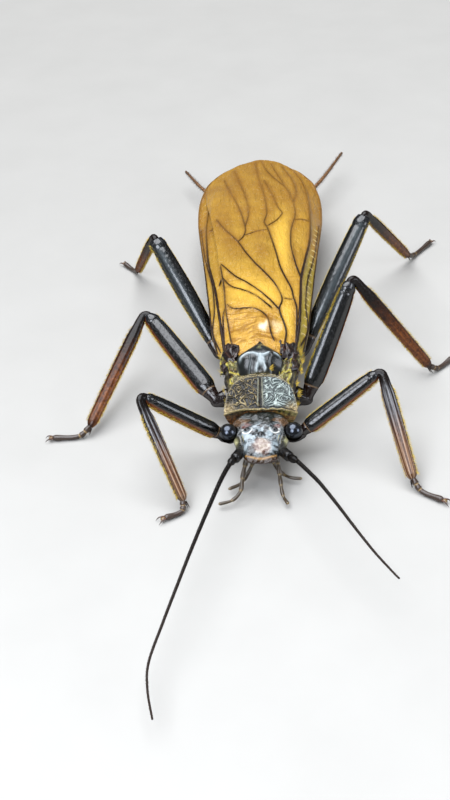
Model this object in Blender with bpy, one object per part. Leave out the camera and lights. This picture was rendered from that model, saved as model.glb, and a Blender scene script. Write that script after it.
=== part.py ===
# A fringed stonefly, life-size, standing with its wings folded flat over the abdomen.
# The sizes below are millimetres. X is the insect's left, Y runs from head to tail, Z is up from the floor.

from math import cos, pi, radians, sin, tan

import bmesh
import bpy
import numpy as np
from mathutils import Vector

MM = 0.001  # scene units are metres
GAP = 0.27  # clearance between neighbouring pieces

# Head capsule
HEAD_BACK = 0.78
HEAD_FRONT = -2.0
HEAD_HALF_WIDTH = 1.75
HEAD_TOP = 3.4
HEAD_BOTTOM = 1.78
EYE_CENTRE = (1.92, -0.25, 2.92)
EYE_RADIUS = 0.57
LABRUM_LENGTH = 0.32

# Thorax and abdomen
PRONOTUM_FRONT = 1.06
PRONOTUM_BACK = 3.5
PRONOTUM_HALF_WIDTHS = (2.25, 1.6)  # at its front and its hind corners
PRONOTUM_THICKNESS = 0.5
PROTHORAX_BACK = 3.6
MESOTHORAX_BACK = 6.6
METATHORAX_BACK = 10.75
ABDOMEN_BACK = 25.6
ABDOMEN_SEGMENTS = 10
ABDOMEN_BOTTOM = 0.82
ABDOMEN_HALF_WIDTHS = (1.95, 1.25)  # behind the thorax and at the tail

# Wings: the insect's left forewing lies on top, then its right one, then the two hindwings
WING_THICKNESS = 0.5
WING_STEP = 0.92  # from the top of one wing to the top of the next one under it
RIDGE_HEIGHT = 0.09
RIDGE_HALF_WIDTH = 0.2
COSTAL_SLOPE = radians(48)  # how steeply the front strip of the forewing is bent down
STRIP_FLAT_FROM = 24.0  # behind this the front strip flattens out into the tip
WING_ROWS = 15
HINDWING_FRONT = 8.8
HINDWING_BACK = 30.4
HINDWING_ROWS = 11

# Height of the uppermost wing along the midline, and how far it falls towards its sides
WING_CREST = [(6.9, 4.78), (10.0, 4.86), (20.0, 4.62), (28.0, 4.4), (32.3, 4.25)]
WING_FALL = [(6.9, 0.85), (10.5, 0.35), (32.3, 0.3)]

# The lines of the left forewing, from its root to its margin, seen from above
COSTA = [
    (2.75, 6.9), (3.2, 9.6), (3.8, 16.0), (4.4, 21.5), (4.65, 24.5), (4.6, 27.2), (4.1, 29.4), (3.15, 30.9),
]
RADIUS = [
    (2.3, 6.9), (2.55, 9.5), (2.8, 14.0), (3.5, 19.3), (3.7, 22.5), (3.65, 25.8), (3.35, 29.0), (2.5, 31.5),
]
SECTOR = [
    (2.15, 6.9), (2.5, 10.5), (2.6, 14.6), (2.2, 18.5), (2.6, 23.2), (2.4, 26.0), (2.0, 29.0), (1.5, 32.1),
]
MEDIA = [(2.0, 6.9), (2.3, 10.2), (2.05, 12.8), (1.4, 15.3), (0.55, 21.0), (0.35, 26.0), (0.0, 32.4)]
CUBITUS_1 = [(1.8, 6.9), (1.55, 10.5), (1.1, 14.2), (-0.2, 17.2), (-1.1, 20.5), (-1.5, 25.0), (-2.2, 31.2)]
CUBITUS_2 = [(1.65, 6.9), (1.45, 10.2), (1.15, 13.6), (-0.3, 16.5), (-1.5, 19.7), (-2.6, 23.5), (-3.4, 27.8)]
CUBITUS_3 = [(1.5, 6.9), (1.3, 10.0), (0.9, 13.0), (-0.4, 15.6), (-1.7, 18.6), (-3.25, 22.3)]
ANAL_1 = [(1.3, 6.9), (1.2, 9.7), (0.6, 11.2), (-0.9, 13.4), (-1.8, 14.6), (-2.55, 16.3)]
ANAL_2 = [(1.1, 6.9), (0.95, 8.8), (0.5, 10.3), (-0.4, 11.4), (-1.7, 12.6), (-2.4, 13.6)]
ANAL_3 = [(0.85, 6.9), (0.7, 7.9), (0.3, 9.2), (-0.5, 9.9), (-1.5, 10.2), (-2.15, 10.8)]
ANAL_EDGE = [(0.5, 6.9), (-0.3, 6.88), (-1.1, 7.0), (-1.85, 7.6)]
FORKS = {"sector": 14.4, "cubitus_1": 17.0, "cubitus_2": 15.0}  # where a branch leaves the vein before it

# Legs: each pair shares where its hip grows from the body, its lengths, its depths, and the share of the
# femur by which that has its full depth
LEG_PAIRS = {
    "front": {
        "root": 1.6, "hip": (2.25, 1.25, 1.5),
        "femur": 6.25, "tibia": 6.75, "depths": (1.0, 0.82), "full": 0.2,
    },
    "mid": {
        "root": 2.3, "hip": (2.85, 4.85, 1.5),
        "femur": 7.85, "tibia": 8.55, "depths": (1.32, 0.84), "full": 0.2,
    },
    "hind": {
        "root": 2.2, "hip": (2.75, 10.2, 1.35),
        "femur": 9.65, "tibia": 9.85, "depths": (1.2, 0.76), "full": 0.5,
    },
}
# Where each foot stands, how far its knee leans out of the upright plane through hip and ankle, and its
# length against the pair's
STANCES = {
    ("front", "r"): {"ankle": (-4.56, -3.5), "toe": (-5.62, -4.48), "lean": 43.8, "scale": 1.0},
    ("front", "l"): {"ankle": (8.78, -2.1), "toe": (10.38, -3.51), "lean": -45.8, "scale": 1.0},
    ("mid", "r"): {"ankle": (-10.8, 3.6), "toe": (-13.15, 3.09), "lean": 59.9, "scale": 1.0},
    ("mid", "l"): {"ankle": (11.0, 9.0), "toe": (12.67, 10.43), "lean": -19.5, "scale": 1.02},
    ("hind", "r"): {"ankle": (-9.25, 22.3), "toe": (-10.43, 23.97), "lean": -10.2, "scale": 0.945},
    ("hind", "l"): {"ankle": (10.99, 23.1), "toe": (12.95, 25.73), "lean": 2.3, "scale": 1.055},
}
ANKLE_HEIGHT = 0.62
COXA_RADII = (0.52, 0.32)
FEMUR_WIDTH = 0.72
TIBIA_WIDTH = 0.54
KNEE_RADIUS = 0.42  # of the bend in the upper end of the tibia
KNEE_LEAD = 0.1  # straight stretch of the tibia before that bend
TARSUS_HEIGHT = 0.23  # of its middle line, so that its sole is flat on the floor
TARSUS_RADIUS = 0.25
TARSUS_SIZES = [  # shares of its length and of its thickness: two short joints and a long one
    (0.0, 0.86), (0.14, 1.04), (0.2, 0.86), (0.32, 1.04), (0.38, 0.84), (0.7, 0.92), (0.94, 1.08), (1.0, 0.8),
]
SOLE_DEPTH = 0.07  # what lies lower than this is pressed flat onto the floor
CLAW_LENGTH = 0.55

# Feelers: points along each, and the thickness at its root and its tip
ANTENNA_THICKNESS = (0.52, 0.36)
SCAPE_THICKNESS = 0.62
PALP_THICKNESS = (0.5, 0.34)
CERCUS_THICKNESS = (0.6, 0.34)
SCAPES = {
    "r": [(-1.3, -1.62, 2.5), (-1.4, -1.95, 2.55), (-1.62, -2.35, 2.6)],
    "l": [(1.35, -1.62, 2.5), (1.5, -1.95, 2.55), (1.8, -2.35, 2.6)],
}
FLAGELLA = {
    "r": [
        (-1.75, -2.7, 2.7), (-2.35, -4.7, 2.9), (-3.52, -9.1, 2.85), (-4.3, -12.0, 2.6),
        (-4.97, -14.3, 2.2), (-5.56, -16.4, 1.75), (-5.55, -17.8, 1.45), (-5.2, -19.6, 1.3),
    ],
    "l": [
        (2.05, -2.65, 2.7), (2.9, -4.2, 2.9), (3.35, -5.05, 2.95), (4.2, -6.75, 2.9),
        (5.03, -8.45, 2.8), (5.92, -10.05, 2.6), (6.85, -11.4, 2.35), (7.1, -11.7, 2.25),
    ],
}
MAXILLARY_PALPS = {
    "r": [
        (-0.95, -1.15, 1.5), (-1.12, -2.01, 1.05), (-1.24, -2.9, 0.75), (-1.74, -3.34, 0.4),
        (-2.6, -3.6, 0.36),
    ],
    "l": [(0.95, -1.15, 1.5), (1.03, -1.9, 1.05), (1.13, -2.75, 0.6), (1.25, -3.2, 0.38), (1.5, -3.75, 0.36)],
}
LABIAL_PALPS = {
    "r": [(-0.4, -0.7, 1.45), (-0.7, -1.15, 0.85), (-1.25, -1.85, 0.4), (-2.05, -2.33, 0.36)],
    "l": [(0.4, -0.55, 1.45), (0.7, -0.7, 0.85), (1.15, -1.05, 0.42), (1.7, -1.42, 0.38), (2.4, -1.5, 0.36)],
}
CERCI = {
    "r": [(-0.8, 26.0, 1.65), (-1.6, 27.6, 1.5), (-3.0, 30.2, 1.5), (-4.9, 33.4, 1.6), (-6.3, 36.6, 1.5)],
    "l": [(0.8, 26.0, 1.65), (1.6, 27.6, 1.5), (3.0, 30.2, 1.5), (5.0, 33.6, 1.8), (6.9, 38.0, 2.0)],
}

SIDES = {"l": 1, "r": -1}


def clear_scene():
    for obj in list(bpy.data.objects):
        bpy.data.objects.remove(obj, do_unlink=True)


def new_collection(name, hidden=False):
    collection = bpy.data.collections.new(name)
    bpy.context.scene.collection.children.link(collection)
    collection.hide_render = hidden
    return collection


clear_scene()
INSECT = new_collection("fringed_stonefly")
CUTTERS = new_collection("cutters", hidden=True)


def finish(obj, colour, roughness, metallic=0.0):
    """Gives a piece its own Principled material."""
    material = bpy.data.materials.new(obj.name + "_chitin")
    material.use_nodes = True
    shader = material.node_tree.nodes["Principled BSDF"]
    shader.inputs["Base Color"].default_value = (*colour, 1.0)
    shader.inputs["Roughness"].default_value = roughness
    shader.inputs["Metallic"].default_value = metallic
    obj.data.materials.clear()
    obj.data.materials.append(material)
    return obj


def new_piece(name, points, faces, collection=INSECT):
    """A mesh object from points in millimetres."""
    mesh = bpy.data.meshes.new(name)
    mesh.from_pydata([Vector(p) * MM for p in points], [], faces)
    bm = bmesh.new()
    bm.from_mesh(mesh)
    bmesh.ops.recalc_face_normals(bm, faces=bm.faces)
    bm.to_mesh(mesh)
    bm.free()
    mesh.shade_smooth()
    obj = bpy.data.objects.new(name, mesh)
    collection.objects.link(obj)
    return obj


def between(pairs, at):
    """Straight interpolation in a short list of (place, value)."""
    return float(np.interp(at, [p[0] for p in pairs], [p[1] for p in pairs]))


def smooth_path(points, count):
    """Points evenly spaced along the smooth curve through the given ones."""
    pts = np.array(points, float)
    ends = np.vstack([2 * pts[0] - pts[1], pts, 2 * pts[-1] - pts[-2]])
    fine = []
    for i in range(1, len(ends) - 2):
        a, b, c, d = ends[i - 1 : i + 3]
        for t in np.linspace(0, 1, 12, endpoint=False):
            square, cube = 2 * a - 5 * b + 4 * c - d, 3 * b - a - 3 * c + d
            fine.append(0.5 * (2 * b + (c - a) * t + square * t**2 + cube * t**3))
    fine = np.array(fine + [pts[-1]])
    run = np.concatenate([[0], np.cumsum(np.linalg.norm(np.diff(fine, axis=0), axis=1))])
    places = np.linspace(0, run[-1], count)
    return np.column_stack([np.interp(places, run, fine[:, k]) for k in range(fine.shape[1])])


def section(half_width, up, down, sides, squareness=2.0):
    """Points (across, height) of a rounded section, flat side down, its upper and lower depths unlike."""
    turns = [2 * pi * (i + 0.5) / sides for i in range(sides)]
    points = []
    for turn in turns:
        across = abs(cos(turn)) ** (2 / squareness) * (1 if cos(turn) > 0 else -1)
        height = abs(sin(turn)) ** (2 / squareness)
        points.append((half_width * across, up * height if sin(turn) > 0 else -down * height))
    return points


def loft(name, rings, collection=INSECT):
    """A closed body through rings that all have the same number of points."""
    count = len(rings[0])
    points = [p for ring in rings for p in ring]
    faces = []
    for i in range(len(rings) - 1):
        for j in range(count):
            a, b = i * count + j, i * count + (j + 1) % count
            faces.append((a, b, b + count, a + count))
    faces.append(tuple(range(count)))
    last = (len(rings) - 1) * count
    faces.append(tuple(range(last, last + count)))
    return new_piece(name, points, faces, collection)


def body_loft(name, rows, sides=18, squareness=2.4):
    """A body part from upright sections along Y: (y, half width, top, bottom)."""
    rings = []
    for y, half_width, top, bottom in rows:
        middle = (top + bottom) / 2
        ring = section(half_width, top - middle, middle - bottom, sides, squareness)
        rings.append([(x, y, middle + z) for x, z in ring])
    return loft(name, rings)


def limb_loft(name, path, depths, widths, upper, sides=10, squareness=2.3, floor=None, collection=INSECT):
    """A limb segment: sections square to its path, their depth along the direction given by upper."""
    rings = []
    upper = Vector(upper)
    for i, point in enumerate(path):
        before, after = path[max(i - 1, 0)], path[min(i + 1, len(path) - 1)]
        along = (Vector(after) - Vector(before)).normalized()
        up = (upper - along * upper.dot(along)).normalized()
        across = along.cross(up)
        ring = []
        for u, v in section(widths[i] / 2, depths[i] / 2, depths[i] / 2, sides, squareness):
            place = Vector(point) + across * u + up * v
            if floor is not None and place.z < floor + SOLE_DEPTH:
                place.z = floor
            ring.append(place)
        rings.append(ring)
        upper = up
    return loft(name, rings, collection)


def feeler(name, points, thickness, count, taper=1.0):
    """A round tapering feeler: a curve with a bevel, its radius falling from root to tip."""
    curve = bpy.data.curves.new(name, "CURVE")
    curve.dimensions = "3D"
    curve.bevel_depth = thickness[0] / 2 * MM
    curve.bevel_resolution = 1
    curve.use_fill_caps = True
    spline = curve.splines.new("POLY")
    path = smooth_path(points, count)
    spline.points.add(count - 1)
    for i, place in enumerate(path):
        share = (i / (count - 1)) ** taper
        spline.points[i].co = (*(Vector(place) * MM), 1.0)
        spline.points[i].radius = 1 + share * (thickness[1] / thickness[0] - 1)
    spline.points[0].radius *= 0.86
    spline.points[count - 1].radius *= 0.7
    obj = bpy.data.objects.new(name, curve)
    INSECT.objects.link(obj)
    return obj


def fuse(obj, pieces):
    """Joins closed pieces to the object by one union, then drops the loose ones."""
    together = bpy.data.collections.new(obj.name + "_pieces")
    for piece in pieces:
        together.objects.link(piece)
    union = obj.modifiers.new("union", "BOOLEAN")
    union.operation = "UNION"
    union.operand_type = "COLLECTION"
    union.collection = together
    union.solver = "EXACT"
    graph = bpy.context.evaluated_depsgraph_get()
    obj.data = bpy.data.meshes.new_from_object(obj.evaluated_get(graph))
    obj.modifiers.clear()
    for piece in pieces:
        bpy.data.objects.remove(piece, do_unlink=True)
    bpy.data.collections.remove(together)
    return obj


def ball(name, centre, radius, collection, segments=16, rings=10):
    bm = bmesh.new()
    bmesh.ops.create_uvsphere(bm, u_segments=segments, v_segments=rings, radius=radius * MM)
    mesh = bpy.data.meshes.new(name)
    bm.to_mesh(mesh)
    bm.free()
    mesh.shade_smooth()
    obj = bpy.data.objects.new(name, mesh)
    obj.location = Vector(centre) * MM
    collection.objects.link(obj)
    return obj


def make_head():
    rows = [
        (HEAD_BACK, 1.35, HEAD_TOP - 0.3, HEAD_BOTTOM + 0.15),
        (HEAD_BACK - 0.12, 1.5, HEAD_TOP - 0.15, HEAD_BOTTOM + 0.05),
        (0.3, HEAD_HALF_WIDTH, HEAD_TOP, HEAD_BOTTOM),
        (-0.25, HEAD_HALF_WIDTH - 0.02, HEAD_TOP - 0.02, HEAD_BOTTOM),
        (-0.8, HEAD_HALF_WIDTH - 0.1, HEAD_TOP - 0.15, HEAD_BOTTOM + 0.02),
        (-1.35, HEAD_HALF_WIDTH - 0.4, HEAD_TOP - 0.36, HEAD_BOTTOM + 0.12),
        (-1.8, 1.08, HEAD_TOP - 0.53, HEAD_BOTTOM + 0.27),
        (HEAD_FRONT, 0.92, HEAD_TOP - 0.66, HEAD_BOTTOM + 0.4),
    ]
    head = body_loft("head", rows, sides=20)
    for side, sign in SIDES.items():
        centre = (EYE_CENTRE[0] * sign, *EYE_CENTRE[1:])
        finish(ball("eye_" + side, centre, EYE_RADIUS, INSECT), (0.01, 0.01, 0.012), 0.12)
        socket = ball("socket_" + side, centre, EYE_RADIUS + GAP * 0.8, CUTTERS)
        notch = Vector(SCAPES[side][0])
        ring = ball("notch_" + side, notch, SCAPE_THICKNESS / 2 + GAP, CUTTERS, 12, 8)
        for cutter in (socket, ring):
            cutter.hide_render = True
            cutter.display_type = "WIRE"
            cut = head.modifiers.new("cut", "BOOLEAN")
            cut.operation = "DIFFERENCE"
            cut.object = cutter
    finish(head, (0.05, 0.055, 0.06), 0.3)
    front = HEAD_FRONT - GAP
    rows = [
        (front, 0.88, 2.7, 2.2),
        (front - LABRUM_LENGTH * 0.6, 0.8, 2.66, 2.17),
        (front - LABRUM_LENGTH, 0.55, 2.56, 2.22),
    ]
    finish(body_loft("labrum", rows, sides=12, squareness=3), (0.35, 0.16, 0.05), 0.35)


def pronotum_place(u, v):
    """A point of the shield's upper face: u from -1 to 1 across, v from 0 in front to 1 behind."""
    half = PRONOTUM_HALF_WIDTHS[0] + (PRONOTUM_HALF_WIDTHS[1] - PRONOTUM_HALF_WIDTHS[0]) * v
    half += 0.16 * sin(pi * v)
    front = PRONOTUM_FRONT + 0.28 * u * u
    back = PRONOTUM_BACK - 0.02 * u * u
    crest = 3.62 + 0.98 * v
    fall = 0.62 * abs(u) ** 2.6
    return (half * u, front + (back - front) * v, crest - fall)


def make_pronotum():
    across, along = 14, 7
    grid = [
        [pronotum_place(2 * i / across - 1, j / along) for i in range(across + 1)] for j in range(along + 1)
    ]
    obj = sheet("pronotum", grid, lambda x, y: (0, 0, -PRONOTUM_THICKNESS))
    finish(obj, (0.06, 0.06, 0.055), 0.4)


def sheet(name, grid, offset):
    """A thin closed body: an upper face from a grid of points, a lower one split into triangles alike."""
    rows, columns = len(grid), len(grid[0])
    top = [p for row in grid for p in row]
    low = [tuple(a + b for a, b in zip(p, offset(p[0], p[1]))) for p in top]
    size = rows * columns
    faces = []
    for j in range(rows - 1):
        for i in range(columns - 1):
            a = j * columns + i
            for f in ((a, a + 1, a + columns + 1), (a, a + columns + 1, a + columns)):
                faces.append(f)
                faces.append(tuple(k + size for k in reversed(f)))
    rim = list(range(columns - 1))
    rim += [j * columns + columns - 1 for j in range(rows - 1)]
    rim += [(rows - 1) * columns + i for i in range(columns - 1, 0, -1)]
    rim += [j * columns for j in range(rows - 1, 0, -1)]
    for a, b in zip(rim, rim[1:] + rim[:1]):
        faces.append((a, a + size, b + size, b))
    return new_piece(name, top + low, faces)


def make_thorax():
    rows = [
        (HEAD_BACK + GAP, 1.15, 2.75, 1.5),
        (1.4, 1.35, 2.85, 1.32),
        (2.4, 1.4, 3.2, 1.25),
        (3.2, 1.35, 3.45, 1.25),
        (PROTHORAX_BACK, 1.3, 3.5, 1.3),
    ]
    finish(body_loft("prothorax", rows), (0.12, 0.09, 0.04), 0.5)
    front = PROTHORAX_BACK + GAP
    rows = [
        (front, 1.7, 3.95, 1.3),
        (front + 0.3, 2.0, 4.35, 1.2),
        (5.2, 2.2, 4.72, 1.15),
        (6.1, 2.4, 4.85, 1.15),
        (MESOTHORAX_BACK, 2.35, 4.75, 1.2),
    ]
    finish(body_loft("mesothorax", rows, sides=20, squareness=2.6), (0.02, 0.02, 0.022), 0.2)
    front = MESOTHORAX_BACK + GAP
    rows = [
        (front, 1.9, 3.0, 1.2),
        (7.4, 2.05, 3.05, 1.12),
        (8.35, 2.1, 3.0, 1.1),
        (HINDWING_FRONT - GAP, 2.05, under_wings(1.4, HINDWING_FRONT), 1.1),
        (10.0, 2.0, under_wings(1.4, 10.0), 1.05),
        (METATHORAX_BACK, 1.95, under_wings(1.4, METATHORAX_BACK), 0.95),
    ]
    finish(body_loft("metathorax", rows), (0.05, 0.04, 0.03), 0.4)


def make_abdomen():
    front = METATHORAX_BACK + GAP
    length = (ABDOMEN_BACK - front) / ABDOMEN_SEGMENTS
    rows = []
    for i in range(ABDOMEN_SEGMENTS):
        for share, swell in ((0.0, 0.93), (0.25, 0.99), (0.85, 1.0)):
            along = (i + share) / ABDOMEN_SEGMENTS
            half = ABDOMEN_HALF_WIDTHS[0] + (ABDOMEN_HALF_WIDTHS[1] - ABDOMEN_HALF_WIDTHS[0]) * along**1.5
            y = front + (i + share) * length
            top = under_wings(half * 0.7, y)
            middle = (top + ABDOMEN_BOTTOM) / 2
            depth = (top - ABDOMEN_BOTTOM) / 2 * swell
            rows.append((y, half * swell, middle + depth, middle - depth))
    rows.append((ABDOMEN_BACK, 0.9, middle + 0.42, middle - 0.42))
    finish(body_loft("abdomen", rows, sides=16), (0.1, 0.05, 0.02), 0.5)


def strip_slope(y):
    """The bend of the front strip, easing out to nothing at the wing's tip."""
    ease = min(max((y - STRIP_FLAT_FROM) / (31.0 - STRIP_FLAT_FROM), 0.0), 1.0)
    return COSTAL_SLOPE * (1 - ease) + radians(8) * ease


def radius_line(y):
    """Where the strongest vein runs, which is the edge of the flat part of the folded wing."""
    return between([(p[1], p[0]) for p in RADIUS], y)


def costa_line(y):
    return between([(p[1], p[0]) for p in COSTA], y)


def wing_height(x, y):
    """The height of the upper face of the left forewing over a place."""
    edge = radius_line(y)
    share = min(abs(x) / edge, 1.0)
    height = between(WING_CREST, y) - between(WING_FALL, y) * share**2
    return height - max(x - edge, 0.0) * tan(strip_slope(y))


def strip_share(x, y):
    """How far out a place lies on the bent front strip, from 0 at the strong vein to 1 at the edge."""
    edge = radius_line(y)
    return min(max((x - edge) / max(costa_line(y) - edge, 0.05), 0.0), 1.0)


def wing_offset(x, y):
    """From the upper to the lower face: straight down, and turned inwards under the bent strip."""
    share = min(max((x - radius_line(y) + 0.25) / 0.9, 0.0), 1.0)
    turn = strip_slope(y) * share
    return (-WING_THICKNESS * sin(turn), 0.0, -WING_THICKNESS * cos(turn))


def forewing_grid():
    """The upper face of the left forewing: columns fan out along the veins, each vein a raised ridge."""
    lines = [
        ("costa", COSTA, 1), ("radius", RADIUS, 0), ("sector", SECTOR, 1), ("media", MEDIA, 1),
        ("cubitus_1", CUBITUS_1, 1), ("cubitus_2", CUBITUS_2, 1), ("cubitus_3", CUBITUS_3, 1),
        ("anal_1", ANAL_1, 0), ("anal_2", ANAL_2, 1), ("anal_3", ANAL_3, 1), ("edge", ANAL_EDGE, 0),
    ]
    paths = [smooth_path(points, WING_ROWS) for _, points, _ in lines]
    margin = smooth_path([path[-1] for path in paths], 12 * (len(paths) - 1) + 1)
    columns = []
    for i, (name, _, fills) in enumerate(lines):
        ridge = name not in ("costa", "edge")
        start = FORKS.get(name, 0.0)
        if ridge:
            columns.append((foot(paths[i], paths[i - 1]), None))
        columns.append((paths[i], start if ridge else None))
        if ridge:
            columns.append((foot(paths[i], paths[i + 1]), None))
        for k in range(fills if i + 1 < len(paths) else 0):
            share = (k + 1) / (fills + 1)
            filled = paths[i] * (1 - share) + paths[i + 1] * share
            target = nearest(margin, filled[-1])
            ease = np.linspace(0, 1, WING_ROWS)[:, None] ** 4
            columns.append((filled + ease * (target - filled[-1]), None))
    grid = []
    for j in range(WING_ROWS):
        row = []
        for path, ridge_from in columns:
            x, y = path[j]
            raised = ridge_from is not None and y > ridge_from and 0 < j < WING_ROWS - 1
            row.append((x, y, wing_height(x, y) + (RIDGE_HEIGHT if raised else 0.0)))
        grid.append(row)
    return grid


def foot(path, towards):
    """The line where a ridge's side meets the membrane, between the vein and the next line."""
    step = towards - path
    length = np.linalg.norm(step, axis=1, keepdims=True)
    return path + step * np.minimum(RIDGE_HALF_WIDTH / length, 0.3)


def nearest(line, point):
    return line[np.argmin(np.linalg.norm(line - point, axis=1))]


def under_wings(x, y):
    """The height just clear of the folded hindwings."""
    return wing_height(x, y) - 2 * WING_STEP - WING_THICKNESS - GAP


def hindwing_grid():
    """A hindwing folded lengthways under the forewings, its main veins as ridges."""
    grid = []
    ridges = (0.14, 0.38, 0.62, 0.86)
    for j in range(HINDWING_ROWS):
        along = j / (HINDWING_ROWS - 1)
        bow = 1 - (2 * max(along - 0.72, 0.0)) ** 2 * 2.2
        row = []
        for share, raised in ridge_shares(ridges):
            middle = HINDWING_FRONT + (HINDWING_BACK - HINDWING_FRONT) * along
            inner = 0.2
            outer = radius_line(middle) - 0.6
            outer = inner + (outer - inner) * bow
            x = inner + (outer - inner) * share
            lift = RIDGE_HEIGHT if raised and 0 < j < HINDWING_ROWS - 1 else 0.0
            row.append((x, middle, wing_height(x, middle) - 2 * WING_STEP + lift))
        grid.append(row)
    return grid


def ridge_shares(ridges):
    """Shares across a wing with two feet beside each ridge, and whether each is raised."""
    shares = [(0.0, False)]
    for ridge in ridges:
        shares += [(ridge - 0.06, False), (ridge, True), (ridge + 0.06, False)]
    return shares + [(1.0, False)]


def make_wings():
    grid = forewing_grid()
    amber = (0.42, 0.2, 0.035)
    finish(sheet("forewing_l", grid, wing_offset), amber, 0.35)
    right = [[(-x, y, z - WING_STEP * (1 - strip_share(x, y))) for x, y, z in row] for row in grid]
    finish(sheet("forewing_r", right, lambda x, y: mirror_offset(wing_offset(-x, y))), amber, 0.35)
    grid = hindwing_grid()
    down = (0, 0, -WING_THICKNESS)
    finish(sheet("hindwing_l", grid, lambda x, y: down), (0.4, 0.25, 0.1), 0.35)
    grid = [[(-x, y, z) for x, y, z in row] for row in grid]
    finish(sheet("hindwing_r", grid, lambda x, y: down), (0.4, 0.25, 0.1), 0.35)


def mirror_offset(offset):
    return (-offset[0], offset[1], offset[2])


def knee_place(hip, ankle, femur, tibia, lean):
    """The knee of a leg of two straight lengths, leaning about the line from hip to ankle."""
    line = ankle - hip
    reach = line.length
    line.normalize()
    along = (femur**2 - tibia**2 + reach**2) / (2 * reach)
    height = max(femur**2 - along**2, 0.01) ** 0.5
    up = (Vector((0, 0, 1)) - line * line.z).normalized()
    side = line.cross(up)
    return hip + line * along + height * (cos(lean) * up + sin(lean) * side)


def tibia_path(knee, out, down, steps=4):
    """From the end of the femur round the bend of the knee: its first points."""
    angle = out.angle(down)  # how far the limb turns at the knee
    tangent = KNEE_RADIUS * tan(angle / 2)
    normal = (down - out * down.dot(out)).normalized()
    centre = knee - out * tangent + normal * KNEE_RADIUS
    path = []
    for i in range(steps + 1):
        turn = angle * i / steps
        path.append(centre - normal * cos(turn) * KNEE_RADIUS + out * sin(turn) * KNEE_RADIUS)
    return path, tangent


def make_leg(pair, side):
    build, stance = LEG_PAIRS[pair], STANCES[(pair, side)]
    sign = SIDES[side]
    hip = Vector((build["hip"][0] * sign, *build["hip"][1:]))
    ankle = Vector((*stance["ankle"], ANKLE_HEIGHT))
    scale = stance["scale"]
    knee = knee_place(hip, ankle, build["femur"] * scale, build["tibia"] * scale, radians(stance["lean"]))
    out = (knee - hip).normalized()
    down = (ankle - knee).normalized()
    bend, tangent = tibia_path(knee, out, down)
    name = f"_{pair}_{side}"
    top = (out - down).normalized()  # the outer side of the knee

    widths = [2 * (COXA_RADII[0] + (COXA_RADII[1] - COXA_RADII[0]) * s) for s in (0.0, 0.3, 0.6, 1.0)]
    inner = Vector((build["root"] * sign, hip.y, hip.z + 0.1))
    path = [inner, inner.lerp(hip, 0.3), hip - out * 0.12, hip + out * 0.08]
    coxa = limb_loft("coxa" + name, path, widths, widths, (0, 1, 0), sides=10)
    finish(coxa, (0.03, 0.025, 0.02), 0.35)

    depth, width = build["depths"][0], FEMUR_WIDTH
    start = hip + out * (0.1 + 1.2 * GAP)
    end = knee - out * (tangent + KNEE_LEAD + 1.4 * GAP)
    full = build["full"]
    shape = [(0.0, 0.52), (full * 0.35, 0.62), (full * 0.7, 0.86), (full, 1.0)]
    shape += [((full + 0.8) / 2, 0.98), (0.8, 0.88), (0.93, 0.76), (1.0, 0.56)]
    path, depths, widths = [], [], []
    for share, size in shape:
        path.append(start.lerp(end, share) + top * depth * (1 - size) * (0.25 if share > 0.5 else 0.0))
        depths.append(depth * size)
        widths.append(width * (0.72 + 0.28 * size))
    femur = limb_loft("femur" + name, path, depths, widths, top, sides=12)
    finish(femur, (0.012, 0.013, 0.016), 0.18)

    depth, width = build["depths"][1], TIBIA_WIDTH
    neck = 0.52
    path = [bend[0] - out * KNEE_LEAD] + bend
    depths = [neck * 0.9] + [neck] * len(bend)
    widths = [0.5] * len(path)
    for share, size in ((0.08, 0.8), (0.2, 1.0), (0.45, 1.0), (0.75, 0.93), (0.93, 0.88), (1.0, 0.74)):
        path.append(bend[-1].lerp(ankle, share))
        depths.append(max(depth * size, neck))
        widths.append(width)
    tibia = limb_loft("tibia" + name, path, depths, widths, top, sides=10)
    finish(tibia, (0.09, 0.03, 0.015), 0.28)
    make_tarsus(name, ankle, down, Vector((*stance["toe"], TARSUS_HEIGHT)))


def make_tarsus(name, ankle, down, toe):
    """Three short segments on a flat sole, with two claws fused to the last."""
    start = ankle + down * 0.48
    start.z = TARSUS_HEIGHT
    along = (toe - start).normalized()
    across = along.cross(Vector((0, 0, 1)))
    path = [start.lerp(toe, share) for share, _ in TARSUS_SIZES]
    thick = [2 * TARSUS_RADIUS * size for _, size in TARSUS_SIZES]
    tarsus = limb_loft("tarsus" + name, path, thick, thick, (0, 0, 1), sides=8, squareness=2.8, floor=0.0)
    claws = []
    for sign in (-1, 1):
        root = toe - along * 0.15 + across * 0.1 * sign
        middle = toe + along * CLAW_LENGTH * 0.5 + across * 0.2 * sign + Vector((0, 0, 0.06))
        tip = toe + along * CLAW_LENGTH + across * 0.26 * sign - Vector((0, 0, 0.08))
        thick = [0.26, 0.22, 0.09]
        claws.append(limb_loft("claw", [root, middle, tip], thick, thick, (0, 0, 1), sides=6, floor=0.0))
    for claw in claws:
        INSECT.objects.unlink(claw)
    fuse(tarsus, claws)
    finish(tarsus, (0.03, 0.02, 0.012), 0.35)


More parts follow.
